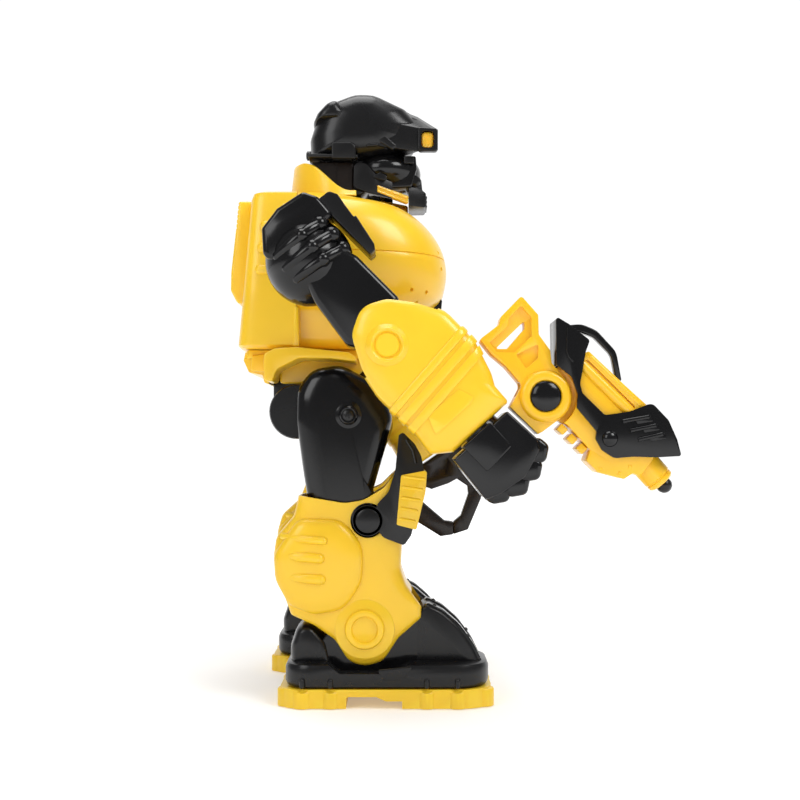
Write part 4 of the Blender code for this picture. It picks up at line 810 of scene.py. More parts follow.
def forearm(side, tag):
    """Two shells with an elbow disc, cross ribs and a raised panel, slotted for the upper arm."""
    result = {}
    for outward, word in HALVES:
        seam = side * (ARM_Y + outward * 0.1)
        face = side * (ARM_Y + outward * FOREARM_HALF)
        shell = pod(f"forearm_{word}_shell_{tag}", FOREARM_CORNERS, seam, face, YELLOW, 0.30)
        slot = [(ELBOW.x - 2, ELBOW.y - 13, 0)]
        for angle in range(205, 30, -15):
            slot.append((ELBOW.x + 42 * math.cos(math.radians(angle)),
                         ELBOW.y + 42 * math.sin(math.radians(angle)), 0))
        slot.append((ELBOW.x + 8, ELBOW.y + 1, 6))
        cut(shell, prism("slot_tool", slot, side * (ARM_Y - 13.2), side * (ARM_Y + 13.2)))
        trims = []
        for k in range(3):
            rib = pod(f"forearm_rib_{k}_{word}_{tag}", FOREARM_CORNERS, seam, face, YELLOW, 0.30, 0.90)
            overlap(rib, across_band("band_tool", -35.5 + 5.7 * k, 4.0, side * (ARM_Y - 30),
                                     side * (ARM_Y + 30)))
            cut(rib, prism("slot_tool", slot, side * (ARM_Y - 13.2), side * (ARM_Y + 13.2)))
            trims.append(round_edges(rib, 1.0, 2))
        if outward > 0:
            panel = pod(f"wrist_panel_{tag}", FOREARM_CORNERS, seam, face, YELLOW, 0.30, 0.55)
            overlap(panel, prism("panel_tool", [(-7.8, 134.6, 1), (5.6, 146.4, 1), (12.2, 143.0, 1),
                                                (10.6, 140.0, 1), (-4.4, 126.2, 1)], side * (ARM_Y + 11),
                                 side * (ARM_Y + 30)))
            trims.append(round_edges(panel, 0.4, 2))
            disc = [(0, 1.5), (4.9, 1.5), (5.3, 1.1), (5.35, 0.75), (5.7, 0.75), (6.6, 1.9), (7.2, 2.1),
                    (8.4, 1.1), (9.2, 0.6), (9.7, 0.0), (9.7, -1.5), (0, -1.5)]
            trims.append(lathe(f"elbow_disc_{tag}", disc, (ELBOW.x, face - side * 0.55, ELBOW.y),
                               (0, side, 0), YELLOW))
        result[word] = [shell, *trims]
    return result


def right_hand():
    """Square cuff with an engraved panel, and a closed fist of four rounded fingers."""
    y = RIGHT * ARM_Y
    cuff = prism("fist_cuff", [(27.0, 137.0, 1), (40, 125, 2), (41.5, 120, 3), (35, 108, 4), (24, 100.5, 5),
                               (17.6, 98.0, 2), (3.5, 115.6, 1)], y - 13.4, y + 13.4, GLOSS, 2.2)
    cut(cuff, prism("grip_tool", [(30.4, 144, 0), (42, 131.6, 0), (36.5, 126.4, 0), (25, 138.6, 0)],
                    y - 6.5, y + 6.5))
    plate = prism("cuff_panel", [(7.6, 121.2, 1.2), (18.2, 110.2, 1.2), (29, 121.6, 1.2),
                                 (19.6, 132.2, 1.2)], y - 13.95, y + 13.95, GLOSS, 0.45)
    neck = lathe("wrist_neck", [(0, 6), (8.6, 6), (8.6, -6), (0, -6)],
                 Vector((WRIST.x, y, WRIST.y)) + FOREARM_AXIS * 1.0, FOREARM_AXIS, GLOSS)
    fingers = []
    for number, (x, z, radius) in enumerate(((39.8, 119.4, 6.0), (37.2, 111.6, 5.9), (31.6, 105.0, 6.0),
                                             (23.8, 101.6, 5.7)), start=1):
        reach = 12.6 - 0.5 * number
        knuckle = [(x - radius, z - 0.75 * radius, 3), (x - 0.4 * radius, z - radius, 3),
                   (x + 0.75 * radius, z - 0.8 * radius, 3), (x + radius, z + 0.4 * radius, 3),
                   (x + 0.3 * radius, z + radius, 3), (x - radius, z + 0.7 * radius, 3)]
        fingers.append(prism(f"finger_{number}", knuckle, y - reach, y + reach, GLOSS, 2.2))
    dress([cuff, plate, neck, *fingers], "hand_right", ["right_hand"])


# ---------------------------------------------------------------- blaster

def blaster_stock():
    """Rimmed stock frame with sunk pockets and a slanting slot, the hinge ring and its cheeks."""
    y = RIGHT * ARM_Y
    corners = [(24.8, 179, 1), (33.8, 188.2, 1.2), (41.3, 179.7, 1.5), (41.5, 171, 2), (46.6, 164, 1.5),
               (47.2, 158.5, 0), (54.5, 149.5, 3), (55.5, 140, 4), (51, 133.8, 2), (43.2, 128.0, 1),
               (41.2, 126.9, 0), (28.9, 138.9, 0), (34.1, 148.7, 3), (27, 157, 2), (20.6, 162.4, 1),
               (15.4, 168.9, 1), (24, 175.5, 1)]
    stock = prism("stock_frame", corners, y - 7.0, y + 7.0, BLASTER_YELLOW)
    pockets = (([(19.6, 167.4, 0.8), (27.4, 174.4, 0.8), (28.4, 178.4, 0.8), (33.7, 183.8, 0.8),
                 (38.2, 178.8, 0.8), (38.4, 170.4, 0.8), (32.0, 164.4, 0.8), (30.6, 163.0, 0.8),
                 (22.8, 163.4, 0.8)], 2.2), ([(31.4, 162.2, 0.8), (41.4, 166.8, 0.8), (41.2, 160.6, 0.8),
                                              (36.0, 155.8, 0.8)], 1.8))
    for outline, depth in pockets:
        for side in (-1, 1):
            cut(stock, prism("pocket_tool", outline, y + side * (7.0 - depth), y + side * 12))
    cut(stock, prism("slot_tool", [(22.4, 164.8, 0.5), (27.6, 164.8, 0.5), (35.4, 173.8, 0.5),
                                   (35.4, 177.4, 0.5)], y - 12, y + 12))
    cut(stock, prism("throat_tool", circle(HINGE, 13.0), y - 3.9, y + 3.9),
        prism("throat_tool", [(38, 160, 0), (60, 172, 0), (66, 130, 0), (48, 131.5, 0), (44.5, 143.6, 0)],
              y - 3.9, y + 3.9))
    round_edges(stock, 0.7, 2)
    rings = []
    for side, word in BLASTER_FACES:
        profile = [(6.9, 0.9), (7.4, 1.6), (9.0, 1.95), (10.4, 1.6), (11.4, 0.7), (11.6, -0.2),
                   (11.6, -3.0), (6.9, -3.0), (6.9, 0.9)]
        rings.append(lathe(f"hinge_ring_{word}", profile, (HINGE.x, y + side * 7.3, HINGE.y), (0, side, 0),
                           BLASTER_YELLOW, 48))
    dress([stock, *rings], "hand_right", ["blaster_stock"])


def blaster_front():
    """Fluted barrel body with grip teeth and muzzle, the pivot's black discs and the dart."""
    y = RIGHT * ARM_Y
    tongue = [(38.5, 139, 5), (38.5, 148, 5), (45, 153, 5), (50, 156.5, 0), (63.4, 163.6, 1),
              (79.8, 148.1, 1), (89.4, 139.4, 3), (92, 128, 3), (92, 116, 3), (86.0, 108.2, 1.5),
              (83, 109.6, 1), (79, 107, 1), (67.5, 110, 1), (62.5, 115, 1), (64.2, 119.8, 1), (54, 131, 2),
              (47, 134.5, 3)]
    barrel = prism("barrel_body", tongue, y - 8.4, y + 8.4, BLASTER_YELLOW)
    for side in (-1, 1):
        cut(barrel, prism("cheek_tool", circle(HINGE, 14.2), y + side * 3.5, y + side * 12))
        cut(barrel, prism("flute_tool", [(58.6, 156.4, 1.5), (62.6, 160.2, 1.5), (84.4, 138.6, 1.5),
                                         (80.6, 134.2, 1.5)], y + side * 6.6, y + side * 12))
    round_edges(barrel, 0.7, 2)
    muzzle = Vector((98.2, y, 104.5))
    aim = Vector(next(j["axis"] for j in frame["joints"] if j["name"] == "dart_slide"))
    nose = lathe("muzzle_tube", [(3.3, -1.2), (5.4, -1.0), (6.2, -1.8), (6.3, -3.2), (6.0, -3.5),
                                 (6.0, -4.0), (6.5, -4.3), (6.5, -26.0), (3.3, -26.0), (3.3, -1.2)], muzzle,
                 aim, BLASTER_YELLOW, 48)
    trims = [barrel, nose]
    for side, word in BLASTER_FACES:
        for number, (start, end, radius) in enumerate((((60.4, 157.8), (82.4, 136.2), 2.6),
                                                       ((64.6, 160.6), (86.0, 139.8), 1.5)), start=1):
            trims.append(capsule(f"barrel_flute_{number}_{word}", (start[0], y + side * 7.2, start[1]),
                                 (end[0], y + side * 7.2, end[1]), radius, BLASTER_YELLOW, 20))
        for number, (x, z) in enumerate(((68.6, 111.6), (77.0, 109.6), (81.6, 112.6)), start=1):
            trims.append(dome(f"body_rivet_{number}_{word}", (x, y + side * 8.4, z), (0.8, 0.5, 0.8),
                              BLASTER_YELLOW))
    for k in range(3):
        x, z = 53.2 + 4.3 * k, 130.4 - 4.3 * k
        tooth = [(x - 1.2, z + 1.2, 0.4), (x + 1.5, z - 1.5, 0.4), (x - 1.0, z - 4.0, 0.6),
                 (x - 3.7, z - 1.3, 0.6)]
        trims.append(prism(f"grip_tooth_{k}", tooth, y - 6.5, y + 6.5, BLASTER_YELLOW, 0.5, "Y", 2))
    dress(trims, "blaster_front", ["blaster_barrel"])
    discs = []
    for side, word in BLASTER_FACES:
        discs.append(lathe(f"hinge_disc_{word}",
                           [(0, 1.5), (3.5, 1.35), (5.6, 0.9), (6.5, 0.2), (6.7, -0.6), (6.7, -2.2),
                            (0, -2.2)], (HINGE.x, y + side * 8.7, HINGE.y), (0, side, 0), GLOSS, 48))
    dress(discs, "blaster_front", ["blaster_pivot_pin"])
    dart = lathe("dart_body", [(0, 3.6), (1.4, 3.3), (2.6, 2.5), (3.4, 1.2), (3.6, 0), (3.4, -1.2),
                               (2.7, -2.4), (2.6, -22), (0, -22)], muzzle + aim * 0.6, aim, SATIN, 32)
    dress([dart], "dart", ["dart"])


def blaster_cover():
    """Black saddle with a ridged nose, a domed rivet and the arched carry handle."""
    y = RIGHT * ARM_Y
    corners = [(48.6, 178.8, 1), (54.4, 175.3, 2), (63.6, 168.2, 1.5), (61.8, 163.2, 1.5), (59.3, 149.0, 3),
               (60.2, 145.0, 2), (70.2, 135.2, 2), (81.2, 136.8, 3), (91.0, 140.6, 3), (98.2, 133.0, 3),
               (102.0, 124.5, 3), (103.9, 117.2, 1.0), (92.9, 116.6, 3), (82.6, 116.9, 4), (74.4, 116.2, 4),
               (68.9, 119.8, 2), (66.1, 124.7, 2), (66.5, 128.1, 1), (57.9, 138.4, 1), (58.2, 144.6, 2),
               (55.6, 152.2, 3), (48.9, 157.4, 1)]
    cover = prism("cover_shell", corners, y - 10.6, y + 10.6, GLOSS)
    inside = [(46, 150, 0), (50, 158.2, 0), (53, 159.5, 0), (63.3, 164.0, 0), (80, 148.5, 0),
              (89.6, 139.4, 2), (94, 133.0, 3), (95.5, 120, 2), (100, 112, 0), (90, 98, 0), (60, 108, 0),
              (44, 140, 0)]
    cut(cover, prism("barrel_room_tool", inside, y - 8.6, y + 8.6))
    round_edges(cover, 1.3, 3)
    outer = [(53, 175.6, 0.5), (61.3, 176.2, 8), (68.0, 173.4, 8), (76.8, 163.8, 8), (79.4, 149.6, 0.6),
             (76.2, 152.8, 0.6), (74.4, 162.2, 7), (66.6, 170.2, 6), (60, 172.8, 5), (53, 172.4, 0.5)]
    handle = prism("carry_handle", outer, y - 2.3, y + 2.3, GLOSS, 0.9)
    trims = [cover, handle]
    for side, word in BLASTER_FACES:
        face = y + side * 10.6
        for k in range(3):
            start = Vector((78.0 + 3.4 * k, face, 132.4 - 4.0 * k))
            bend = Vector((89.5 + 3.0 * k, face, 134.4 - 3.8 * k))
            trims.append(tube(f"nose_ridge_{k}_{word}", [start, (start + bend) / 2, bend], 1.1, GLOSS))
            hood = prism(f"nose_scale_{k}_{word}",
                         [(bend.x - 6.4, bend.z - 0.9, 0.5), (bend.x + 0.8, bend.z + 0.5, 0.6),
                          (bend.x + 2.0, bend.z - 2.0, 0.6), (bend.x - 5.0, bend.z - 3.2, 0.5)],
                         y + side * 9.6, y + side * 11.1, GLOSS, 0.35, "Y", 2)
            trims.append(hood)
        trims.append(dome(f"cover_rivet_{word}", (72.4, face - side * 0.6, 124.8), (3.7, 2.6, 3.7), GLOSS))
        trims.append(tube(f"cover_line_{word}", [(53.6, face, 173.6), (53.6, face, 163.0),
                                                 (54.4, face, 160.8), (56.2, face, 158.6)], 0.4, GLOSS))
    dress(trims, "blaster_front", ["blaster_cover"])


# ---------------------------------------------------------------- claw

def claw():
    """Claw base with a recess on each side, and two hooked fingers that meet at their tips."""
    base = prism("claw_block", [(-8.8, 109.3, 1), (-12, 98, 2), (-5, 97.6, 0.5), (-1.7, 96.3, 0.5),
                                (8.2, 99.7, 0.5), (16, 104, 1), (22, 101.5, 2), (26.5, 110, 3),
                                (23.5, 126, 2), (19.4, 128.6, 1)], ARM_Y - 10, ARM_Y + 10, BROWN)
    for pivot in ("claw_open", "claw_open_rear"):
        cut(base, prism("finger_tool", circle(side_view(pivot), 9.5), ARM_Y - 4.3, ARM_Y + 4.3))
    for side in (-1, 1):
        cut(base, prism("recess_tool", [(-2.0, 102.2, 1.2), (6.4, 104.6, 1.2), (8.4, 115.6, 1.2),
                                        (-1.0, 110.6, 1.2)], ARM_Y + side * 9.2, ARM_Y + side * 14))
    round_edges(base, 0.8, 2)
    dress([base], "claw", ["claw_base"])
    front = prism("claw_jaw_front", [(14, 112, 3), (22, 108, 3), (28.3, 99, 2), (27.5, 90.7, 1),
                                     (19.8, 72.4, 1), (11.35, 69.6, 0), (11.35, 77, 0), (15.6, 80.6, 1),
                                     (20, 93.3, 1), (19.5, 98, 1), (12, 103, 2)], ARM_Y - 4, ARM_Y + 4,
                  BROWN, 0.7)
    rear = prism("claw_jaw_rear", [(-5, 106, 3), (-13.5, 102, 3), (-15.8, 92, 2), (-12, 78.2, 1),
                                   (3.8, 68.4, 1), (11.25, 69.5, 0), (11.25, 77, 0), (6.2, 77.6, 1),
                                   (-7.2, 89, 1), (-6.4, 94.5, 1), (-4, 98, 2)], ARM_Y - 4, ARM_Y + 4,
                 BROWN, 0.7)
    dress([front], "claw_front", ["claw_finger_front"])
    dress([rear], "claw_rear", ["claw_finger_rear"])


# ---------------------------------------------------------------- legs

def thigh(side, tag):
    """Two rounded shells with the hip boss and screw outside and the crank's lobe inside."""
    corners = [(-69, 149, 14), (-69.5, 134, 20), (-66, 108, 30), (-61, 78, 8), (-29, 77, 6), (-28, 91, 4),
               (-33.5, 98.5, 6), (-27, 121, 20), (-22.8, 136, 12), (-32, 152, 16), (-48, 160.3, 12),
               (-62, 158.4, 12)]
    result = {}
    for outward, word in HALVES:
        face = side * (LEG_Y + outward * THIGH_HALF)
        shell = pod(f"thigh_{word}_shell_{tag}", corners, side * (LEG_Y + outward * 0.1), face, GLOSS, 0.38,
                    0.0, 14)
        pieces = [shell]
        if outward > 0:
            boss = [(0, 0.2), (1.2, 0.2), (2.4, 0.3), (2.6, 1.5), (3.5, 1.7), (4.2, 1.2), (4.6, 0.3),
                    (7.2, -0.2), (9.0, -0.9), (9.0, -2), (0, -2)]
            pieces.append(lathe(f"hip_boss_{tag}", boss, (HIP.x, face, HIP.y), (0, side, 0), GLOSS))
            screw = lathe(f"hip_screw_{tag}", [(0, 3.2), (1.6, 3.1), (2.6, 2.6), (2.9, 1.9), (2.9, -0.5),
                                               (2.5, -0.5), (2.5, 2.4), (0, 2.4)], (HIP.x, face, HIP.y),
                          (0, side, 0), SATIN, 24)
            for turn in (0, 90):
                bar = block("cross_tool", (HIP.x - 1.5, face + side * 2.75, HIP.y - 0.28),
                            (HIP.x + 1.5, face + side * 4, HIP.y + 0.28))
                moved([bar], HIP, HIP, 20 + turn)
                cut(screw, bar)
            pieces.append(screw)
        else:
            lobe = [(0, 0.2), (9.8, 0.2), (12.6, 0.5), (13.4, 1.3), (13.4, 5.5), (12.8, 6.4), (0, 6.4)]
            disc = lathe(f"crank_lobe_{tag}", lobe, (-70.7, side * (LEG_Y - THIGH_HALF - 0.2), 138.4),
                         (0, side, 0), SATIN, 48)
            for piece in (disc, shell):
                cut(piece, lathe("pocket_tool", [(0, 5), (10.2, 5), (10.2, -5), (0, -5)],
                                 (-70.7, side * (LEG_Y - THIGH_HALF - 0.5), 138.4), (0, side, 0)))
            pieces.append(disc)
        result[word] = pieces
    return result


SHIN_CORNERS = [(-68, 118, 3), (-68, 98, 6), (-70, 89, 6), (-78.5, 79, 8), (-80, 68, 12), (-77, 57.5, 12),
                (-71.5, 42, 3), (-60.5, 37, 8), (-50.5, 30, 8), (-44, 19.5, 9), (-36.4, 17.6, 9),
                (-28, 19.5, 9), (-20.5, 31, 8), (-9.8, 40.5, 2.5), (-9.5, 46, 2.5), (-17, 56.5, 8),
                (-19.5, 64, 8), (-18.8, 78, 6), (-21, 118, 3)]


def shin(side, tag):
    """Two shells: a thin-walled cup round the knee, a domed ribbed calf and the ankle disc."""
    result = {}
    for outward, word in HALVES:
        seam = side * (LEG_Y + outward * 0.1)
        face = side * (LEG_Y + outward * SHIN_HALF)
        shell = pod(f"shin_{word}_shell_{tag}", SHIN_CORNERS, seam, face, YELLOW, 0.22)
        room = pod("shin_room_tool", SHIN_CORNERS, seam - side * outward * 1.0, face - side * outward * 1.8,
                   None, 0.22, -1.8)
        rim = prism("rim_tool", [(-90, 98.6, 0), (-66.5, 98.2, 2), (-46, 94.8, 10), (-37, 96.2, 10),
                                 (-27.5, 102, 8), (-20, 112, 0), (0, 112, 0), (0, 140, 0), (-90, 140, 0)],
                    side * 10, side * 75)
        notch = prism("notch_tool", circle(KNEE, 8.2, 40), side * 10, side * 75)
        fork = prism("fork_tool", [(-90, 5, 0), (-90, 47, 0), (-62, 49, 6), (-30, 53, 6), (0, 53, 0),
                                   (0, 5, 0)], side * (LEG_Y - 14.6), side * (LEG_Y + 14.6))
        cut(shell, room, rim, notch, fork)
        pieces = [shell]
        calf = [(-67.5, 88.0, 8), (-47, 87.6, 12), (-37.0, 75.5, 16), (-37.4, 58, 16), (-46, 45, 12),
                (-60, 42.5, 10), (-71.8, 47, 8), (-78.4, 59, 12), (-79.2, 71, 10)]
        pieces.append(pod(f"calf_{word}_{tag}", calf, face - side * outward * 3.0,
                          face + side * outward * 4.6, YELLOW, 0.50, 0.0, 12, 84.0))
        lift = face + side * outward * 3.4
        for number, (x, z, radius) in enumerate(((-55.4, 77.6, 1.9), (-57.2, 69.4, 2.4),
                                                 (-56.6, 59.6, 2.4)), start=1):
            path = []
            for k in range(9):
                t = k / 8
                swell = 0.9 * math.sin(math.pi * (0.35 + 0.4 * t)) - 6.6 * t ** 3
                path.append((x - 19.5 * t, lift + side * outward * swell, z + 1.6 * t))
            pieces.append(tube(f"calf_rib_{number}_{word}_{tag}", path, radius, YELLOW, 5))
            pieces.append(dome(f"calf_rib_end_{number}_{word}_{tag}", path[0], (radius,) * 3, YELLOW))
        if outward > 0:
            pieces.append(lathe(f"ankle_flange_{tag}",
                                [(0, 0.45), (13.2, 0.45), (13.9, 0.1), (14.0, -0.6), (0, -0.6)],
                                (ANKLE.x, face, ANKLE.y), (0, side, 0), YELLOW, 56))
        ring = [(0, 0.7), (5.2, 0.7), (5.7, 0.9), (6.3, 2.1), (7.4, 2.5), (8.7, 2.1), (9.4, 1.0),
                (9.5, -0.6), (0, -0.6)]
        pieces.append(lathe(f"ankle_ring_{word}_{tag}", ring, (ANKLE.x, face, ANKLE.y),
                            (0, side * outward, 0), YELLOW, 56))
        result[word] = pieces
    return result


def knee_guard(side, tag):
    """Black guard round the front of the knee with a groove, and its ribbed yellow band."""
    inner, outer = SHIN_HALF + 0.3, SHIN_HALF + 2.3
    corners = [(-31.5, 93.8, 6), (-29.5, 79.6, 6), (-18.1, 75.3, 1.5), (-14.8, 80, 3), (-10.6, 95.8, 10),
               (-8.3, 107.7, 8), (-10.2, 117.3, 8), (-13.2, 122.6, 4), (-18.6, 128.0, 1.2),
               (-20.6, 126.6, 0.8), (-22.2, 110.1, 8), (-25.4, 100, 6)]
    y_low, y_high = side * LEG_Y - outer, side * LEG_Y + outer
    guard = prism(f"guard_body_{tag}", corners, y_low, y_high, SATIN)
    join(guard, prism("lug_tool", circle(KNEE, 7.2, 40), y_low, y_high))
    cut(guard, prism("guard_tool", [(-60, 60, 0), (-8, 60, 0), (-13.4, 83, 0), (-14, 95.8, 0),
                                    (-11.6, 108, 0), (-13.5, 116.5, 0), (-22, 134, 0), (-60, 140, 0)],
                     side * LEG_Y - inner, side * LEG_Y + inner))
    round_edges(guard, 0.9, 2)
    pieces = [guard]
    for sign, word in ((-1, "a"), (1, "b")):
        face = side * LEG_Y + sign * outer
        pieces.append(lathe(f"knee_disc_{word}_{tag}",
                            [(0, 0.9), (4.8, 0.9), (5.6, 0.5), (5.8, -0.5), (0, -0.5)],
                            (KNEE.x, face, KNEE.y), (0, sign, 0), SATIN, 40))
        pieces.append(lathe(f"knee_hub_{word}_{tag}", [(0, 0), (6.9, 0), (6.9, -5), (0, -5)],
                            (KNEE.x, face, KNEE.y), (0, sign, 0), SATIN, 40))
        pieces.append(tube(f"guard_rim_{word}_{tag}",
                           [(-17.2, face, 124.6), (-14.0, face, 119.4), (-12.6, face, 113.6)], 0.8, GLOSS))
    band = [(-19.5, 108, 0.8), (-7.4, 110.3, 1.2), (-8.2, 100, 8), (-12.4, 82.6, 1.0), (-21.6, 85, 0.8)]
    insert = prism(f"knee_band_{tag}", band, y_low - 1.1, y_high + 1.1, YELLOW)
    hollow = [(-40, 60, 0), (-19.5, 72, 0), (-14.3, 80, 0), (-10.3, 95.8, 8), (-7.9, 107.7, 4),
              (-9.8, 118, 0), (-40, 130, 0)]
    cut(insert, prism("band_tool", hollow, y_low - 0.2, y_high + 0.2))
    round_edges(insert, 0.4, 2)
    ribs = [insert]
    for k in range(5):
        t = k / 4
        z = 87.2 + 19.6 * t
        front = -12.4 + 4.6 * t
        for sign, word in ((-1, "a"), (1, "b")):
            y = side * LEG_Y + sign * (outer + 0.9)
            ribs.append(capsule(f"band_rib_{k}_{word}_{tag}", (-19.6 + 1.6 * t, y, z + 0.6),
                                (front - 1.0, y, z - 0.6), 0.75, YELLOW, 14))
    return pieces, ribs


STUD_PLACES = (-65.4, -52.3, -7.6, 6.7)


def foot(side, tag):
    """Shoe: bevelled base, ball heel, arched instep with a slotted crest, ankle lugs and side studs."""
    y = side * LEG_Y
    base = prism(f"shoe_base_{tag}", [(-74, y - 23.5, 12), (22, y - 23.5, 16), (22, y + 23.5, 16),
                                      (-74, y + 23.5, 12)], 9.0, 20.6, SATIN, 0.0, "Z")
    round_edges(base, 2.6, 2, 50)
    pit = prism("pit_tool", [(-56, 30, 0), (-54, 20.5, 3), (-48, 16, 3), (-26, 16, 3), (-15, 20.5, 3),
                             (-14, 30, 0)], y - 30, y + 30)
    cut(base, pit)
    ball = [(-71.8, 14, 0), (-72.0, 27, 6), (-68.5, 37.4, 6), (-61.0, 37.8, 5), (-53, 28, 8), (-50, 14, 0)]
    heel = pod(f"shoe_heel_{tag}", ball, y, y - 15.5, SATIN, 0.5)
    join(heel, pod("heel_tool", ball, y, y + 15.5, None, 0.5))
    arch = [(-13, 14, 0), (-13, 43.5, 2.5), (-7, 46.9, 3), (0, 43.4, 10), (7.5, 36.8, 14), (14, 27.8, 12),
            (18.6, 18, 2), (18.6, 14, 0)]
    instep = prism(f"shoe_instep_{tag}", arch, y - 13.8, y + 13.8, SATIN, 1.6)
    crest = [(-9.5, 45.0, 0.5), (-7, 47.5, 1.5), (0.4, 44.2, 8), (8.0, 37.6, 12), (14.8, 28.4, 12),
             (19.6, 18.4, 1.5), (17.2, 17.6, 0.5), (12.6, 26.8, 12), (6.2, 35.2, 12), (-0.6, 41.4, 8)]
    ribs = []
    for offset in (-9.6, 9.6):
        ribs.append(prism(f"crest_{'out' if offset * side > 0 else 'in'}_{tag}", crest, y + offset - 3.1,
                          y + offset + 3.1, GLOSS, 0.7))
    middle = [(x - 0.8, z - 0.9, r) for x, z, r in crest]
    ribs.append(prism(f"crest_mid_{tag}", middle, y - 6.4, y + 6.4, SATIN, 0.4))
    for number, (x, z) in enumerate(((-3.8, 45.6), (12.2, 31.4)), start=1):
        for offset in (-9.6, 9.6):
            word = "out" if offset * side > 0 else "in"
            ribs.append(dome(f"crest_rivet_{number}_{word}_{tag}", (x, y + offset, z), (1.1, 1.1, 1.1),
                             SATIN))
    lug = prism(f"ankle_lug_{tag}", [(-58, 14, 0), (-57, 30, 4), (-50, 40, 5), (-43, 45, 5), (-29, 45, 5),
                                     (-20, 43.6, 4), (-11, 44.4, 1), (-11, 14, 0)], y - 13.7, y + 13.7,
                GLOSS, 0.9)
    studs = []
    for face, word in ((y - 23.5, "a"), (y + 23.5, "b")):
        out = -1 if word == "a" else 1
        for number, x in enumerate(STUD_PLACES, start=1):
            studs.append(capsule(f"stud_{number}_{word}_{tag}", (x, face - out * 0.3, 10.4),
                                 (x, face - out * 0.3, 12.6), 1.35, SATIN, 20))
        studs.append(prism(f"side_step_{word}_{tag}",
                           [(-30, 16.6, 1), (-27.5, 13.2, 1), (-18.5, 13.2, 1), (-14.6, 18.4, 1),
                            (-14.6, 19.6, 0.5), (-30, 18, 0.5)], face - out * 1.0, face + out * 0.35, SATIN,
                           0.5))
    return [base, heel, instep, lug, *ribs, *studs]


def sole(side, tag):
    """Yellow sole with scalloped sides under the studs and a stepped arch."""
    y = side * LEG_Y
    plate = prism(f"sole_plate_{tag}", [(-76.4, y - 23.6, 11), (23.2, y - 23.6, 15), (23.2, y + 23.6, 15),
                                        (-76.4, y + 23.6, 11)], 0.0, 8.7, SOLE_YELLOW, 0.0, "Z")
    for x in STUD_PLACES:
        for out in (-1, 1):
            join(plate, lathe("scallop_tool", [(0, 7.6), (4.9, 7.6), (5.3, 7.0), (5.3, 0.02), (0, 0.02)],
                              (x, y + out * 19.55, 0.0), (0, 0, 1)))
    for x, out in ((-73.6, -1), (-73.6, 1), (19.4, -1), (19.4, 1)):
        join(plate, lathe("scallop_tool", [(0, 8.2), (5.0, 8.2), (5.4, 7.6), (5.4, 0.02), (0, 0.02)],
                          (x + (1.4 if x < 0 else -0.6), y + out * 14.2, 0.0), (0, 0, 1)))
    arch = prism("arch_tool", [(-45, -2, 0), (-45, 5.4, 1), (-31, 5.4, 0.5), (-26.5, 3.4, 0.5),
                               (-19, 3.4, 0), (-19, -2, 0)], y - 30, y + 30)
    cut(plate, arch, block("roller_tool", (-5.4, y - 11.5, -1), (5.4, y + 11.5, 8.0)))
    for x in STUD_PLACES:
        for out in (-1, 1):
            cut(plate, dome("dip_tool", (x, y + out * 24.4, 9.6), (3.6, 2.4, 2.4)))
    round_edges(plate, 0.5, 2)
    return [plate]


def place_legs():
    """Make both legs, swing the left one's parts to its own step and let them all ride."""
    hip_turn = left_turn("hip", "knee")
    shin_turn = left_turn("knee", "ankle")
    left_knee, left_ankle = side_view("knee_left"), side_view("ankle_left")
    for side, tag in SIDES:
        thighs, shins = thigh(side, tag), shin(side, tag)
        guard, band = knee_guard(side, tag)
        shoe, plate = foot(side, tag), sole(side, tag)
        if side == LEFT:
            for group in thighs.values():
                moved(group, HIP, HIP, hip_turn)
            for group in shins.values():
                moved(group, KNEE, left_knee, shin_turn)
            moved(guard + band, KNEE, left_knee, shin_turn - GUARD_TIP)
            moved(shoe + plate, ANKLE, left_ankle, 0.0)
        for word in ("outer", "inner"):
            dress(thighs[word], "thigh_" + tag, [f"thigh_{word}_{tag}"])
            dress(shins[word], "shin_" + tag, [f"shin_{word}_{tag}"])
        dress(guard, "guard_" + tag, ["knee_guard_" + tag])
        dress(band, "guard_" + tag, ["knee_insert_" + tag])
        dress(shoe, "foot_" + tag, ["foot_shell_" + tag])
        dress(plate, "foot_" + tag, ["sole_" + tag])


def place_arms():
    """Make both arms, swing the left one to its own angle and let them all ride."""
    arm_turn = left_turn("shoulder", "elbow")
    for side, tag in SIDES:
        upper, lower = upper_arm(side, tag), forearm(side, tag)
        if side == LEFT:
            moved(upper, SHOULDER, SHOULDER, arm_turn)
            for group in lower.values():
                moved(group, SHOULDER, SHOULDER, arm_turn)
        dress(upper, "arm_" + tag, [f"upper_arm_front_{tag}", f"upper_arm_rear_{tag}"])
        for word in ("outer", "inner"):
            dress(lower[word], "forearm_" + tag, [f"forearm_{word}_{tag}"])


# ---------------------------------------------------------------- what stays from the frame

def finish_cad_nodes():
    """Give every CAD node the procedural material of its slot."""
    for row in frame["record"]["subparts"]:
        node = frame["nodes"][row["node"]]
        material = SLOT_MATERIAL[row["material_slot"]]
        node.data.materials.clear()
        node.data.materials.append(material)


# ---------------------------------------------------------------- stage, light and camera

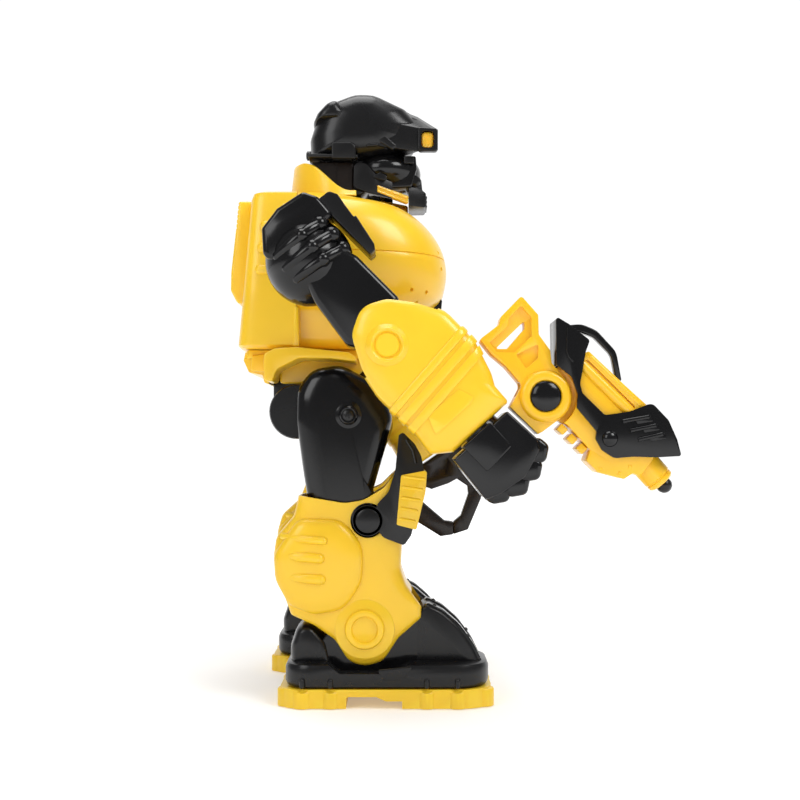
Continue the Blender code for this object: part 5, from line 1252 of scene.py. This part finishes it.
def stage():
    """A pale floor that glows more with distance, so that it fades into the surround."""
    bm = bmesh.new()
    bmesh.ops.create_grid(bm, x_segments=2, y_segments=2, size=6000.0)
    floor = piece_from(bm, "floor")
    floor.location.z = -0.0004
    material = bpy.data.materials.new("pale_floor")
    material.use_nodes = True
    shader = material.node_tree.nodes["Principled BSDF"]
    shader.inputs["Base Color"].default_value = (0.86, 0.86, 0.86, 1.0)
    shader.inputs["Emission Color"].default_value = (1.0, 1.0, 1.0, 1.0)
    nodes, links = material.node_tree.nodes, material.node_tree.links
    place = nodes.new("ShaderNodeTexCoord")
    distance = nodes.new("ShaderNodeVectorMath")
    distance.operation = "LENGTH"
    links.new(place.outputs["Object"], distance.inputs[0])
    glow = nodes.new("ShaderNodeMapRange")
    glow.inputs["From Min"].default_value = 0.10
    glow.inputs["From Max"].default_value = 0.90
    glow.inputs["To Min"].default_value = 0.22
    glow.inputs["To Max"].default_value = 0.78
    links.new(distance.outputs["Value"], glow.inputs["Value"])
    links.new(glow.outputs["Result"], shader.inputs["Emission Strength"])
    shader.inputs["Roughness"].default_value = 0.70
    shader.inputs["Specular IOR Level"].default_value = 0.0
    floor.data.materials.append(material)


def area_light(name, place, target, size, power):
    light = bpy.data.lights.new(name, "AREA")
    light.shape = "RECTANGLE"
    light.size, light.size_y = size
    light.energy = power
    lamp = bpy.data.objects.new(name, light)
    bpy.context.scene.collection.objects.link(lamp)
    lamp.location = place
    lamp.rotation_euler = (Vector(target) - Vector(place)).to_track_quat("-Z", "Y").to_euler()


def lighting():
    """Bright surround behind the robot, darker in front of it, with large soft lights above."""
    world = bpy.data.worlds.new("studio")
    bpy.context.scene.world = world
    world.use_nodes = True
    nodes, links = world.node_tree.nodes, world.node_tree.links
    background = nodes["Background"]
    place = nodes.new("ShaderNodeTexCoord")
    split = nodes.new("ShaderNodeSeparateXYZ")
    links.new(place.outputs["Generated"], split.inputs["Vector"])
    level = nodes.new("ShaderNodeMapRange")
    level.inputs["From Min"].default_value = 0.25
    level.inputs["From Max"].default_value = 0.80
    level.inputs["To Min"].default_value = 0.26
    level.inputs["To Max"].default_value = 1.05
    links.new(split.outputs["Y"], level.inputs["Value"])
    links.new(level.outputs["Result"], background.inputs["Strength"])
    background.inputs["Color"].default_value = (1.0, 1.0, 1.0, 1.0)
    target = (0.0, 0.0, 0.14)
    area_light("key", (0.75, -0.75, 1.05), target, (0.55, 0.55), 8.5)
    area_light("top", (-0.1, 0.0, 1.2), target, (0.9, 0.6), 7.5)
    area_light("fill", (-0.75, -1.0, 0.75), target, (0.5, 0.7), 4.2)


def camera():
    """The photo's side view, with the lens's axis held level."""
    data = bpy.data.cameras.new("camera")
    data.lens = 52.0
    data.sensor_width = 36.0
    data.shift_y = 0.055
    data.dof.use_dof = False
    data.clip_start, data.clip_end = 0.01, 50.0
    eye = bpy.data.objects.new("camera", data)
    bpy.context.scene.collection.objects.link(eye)
    eye.location = (-0.020, -0.600, 0.1225)
    eye.rotation_euler = (math.radians(90), 0.0, 0.0)
    bpy.context.scene.camera = eye


def build():
    finish_cad_nodes()
    chest()
    backpack()
    collar()
    belly()
    pelvis()
    gearbox()
    helmet()
    face()
    place_arms()
    right_hand()
    blaster_stock()
    blaster_front()
    blaster_cover()
    claw()
    place_legs()
    stage()
    lighting()
    camera()


build()
bpy.context.scene.view_settings.view_transform = "Standard"
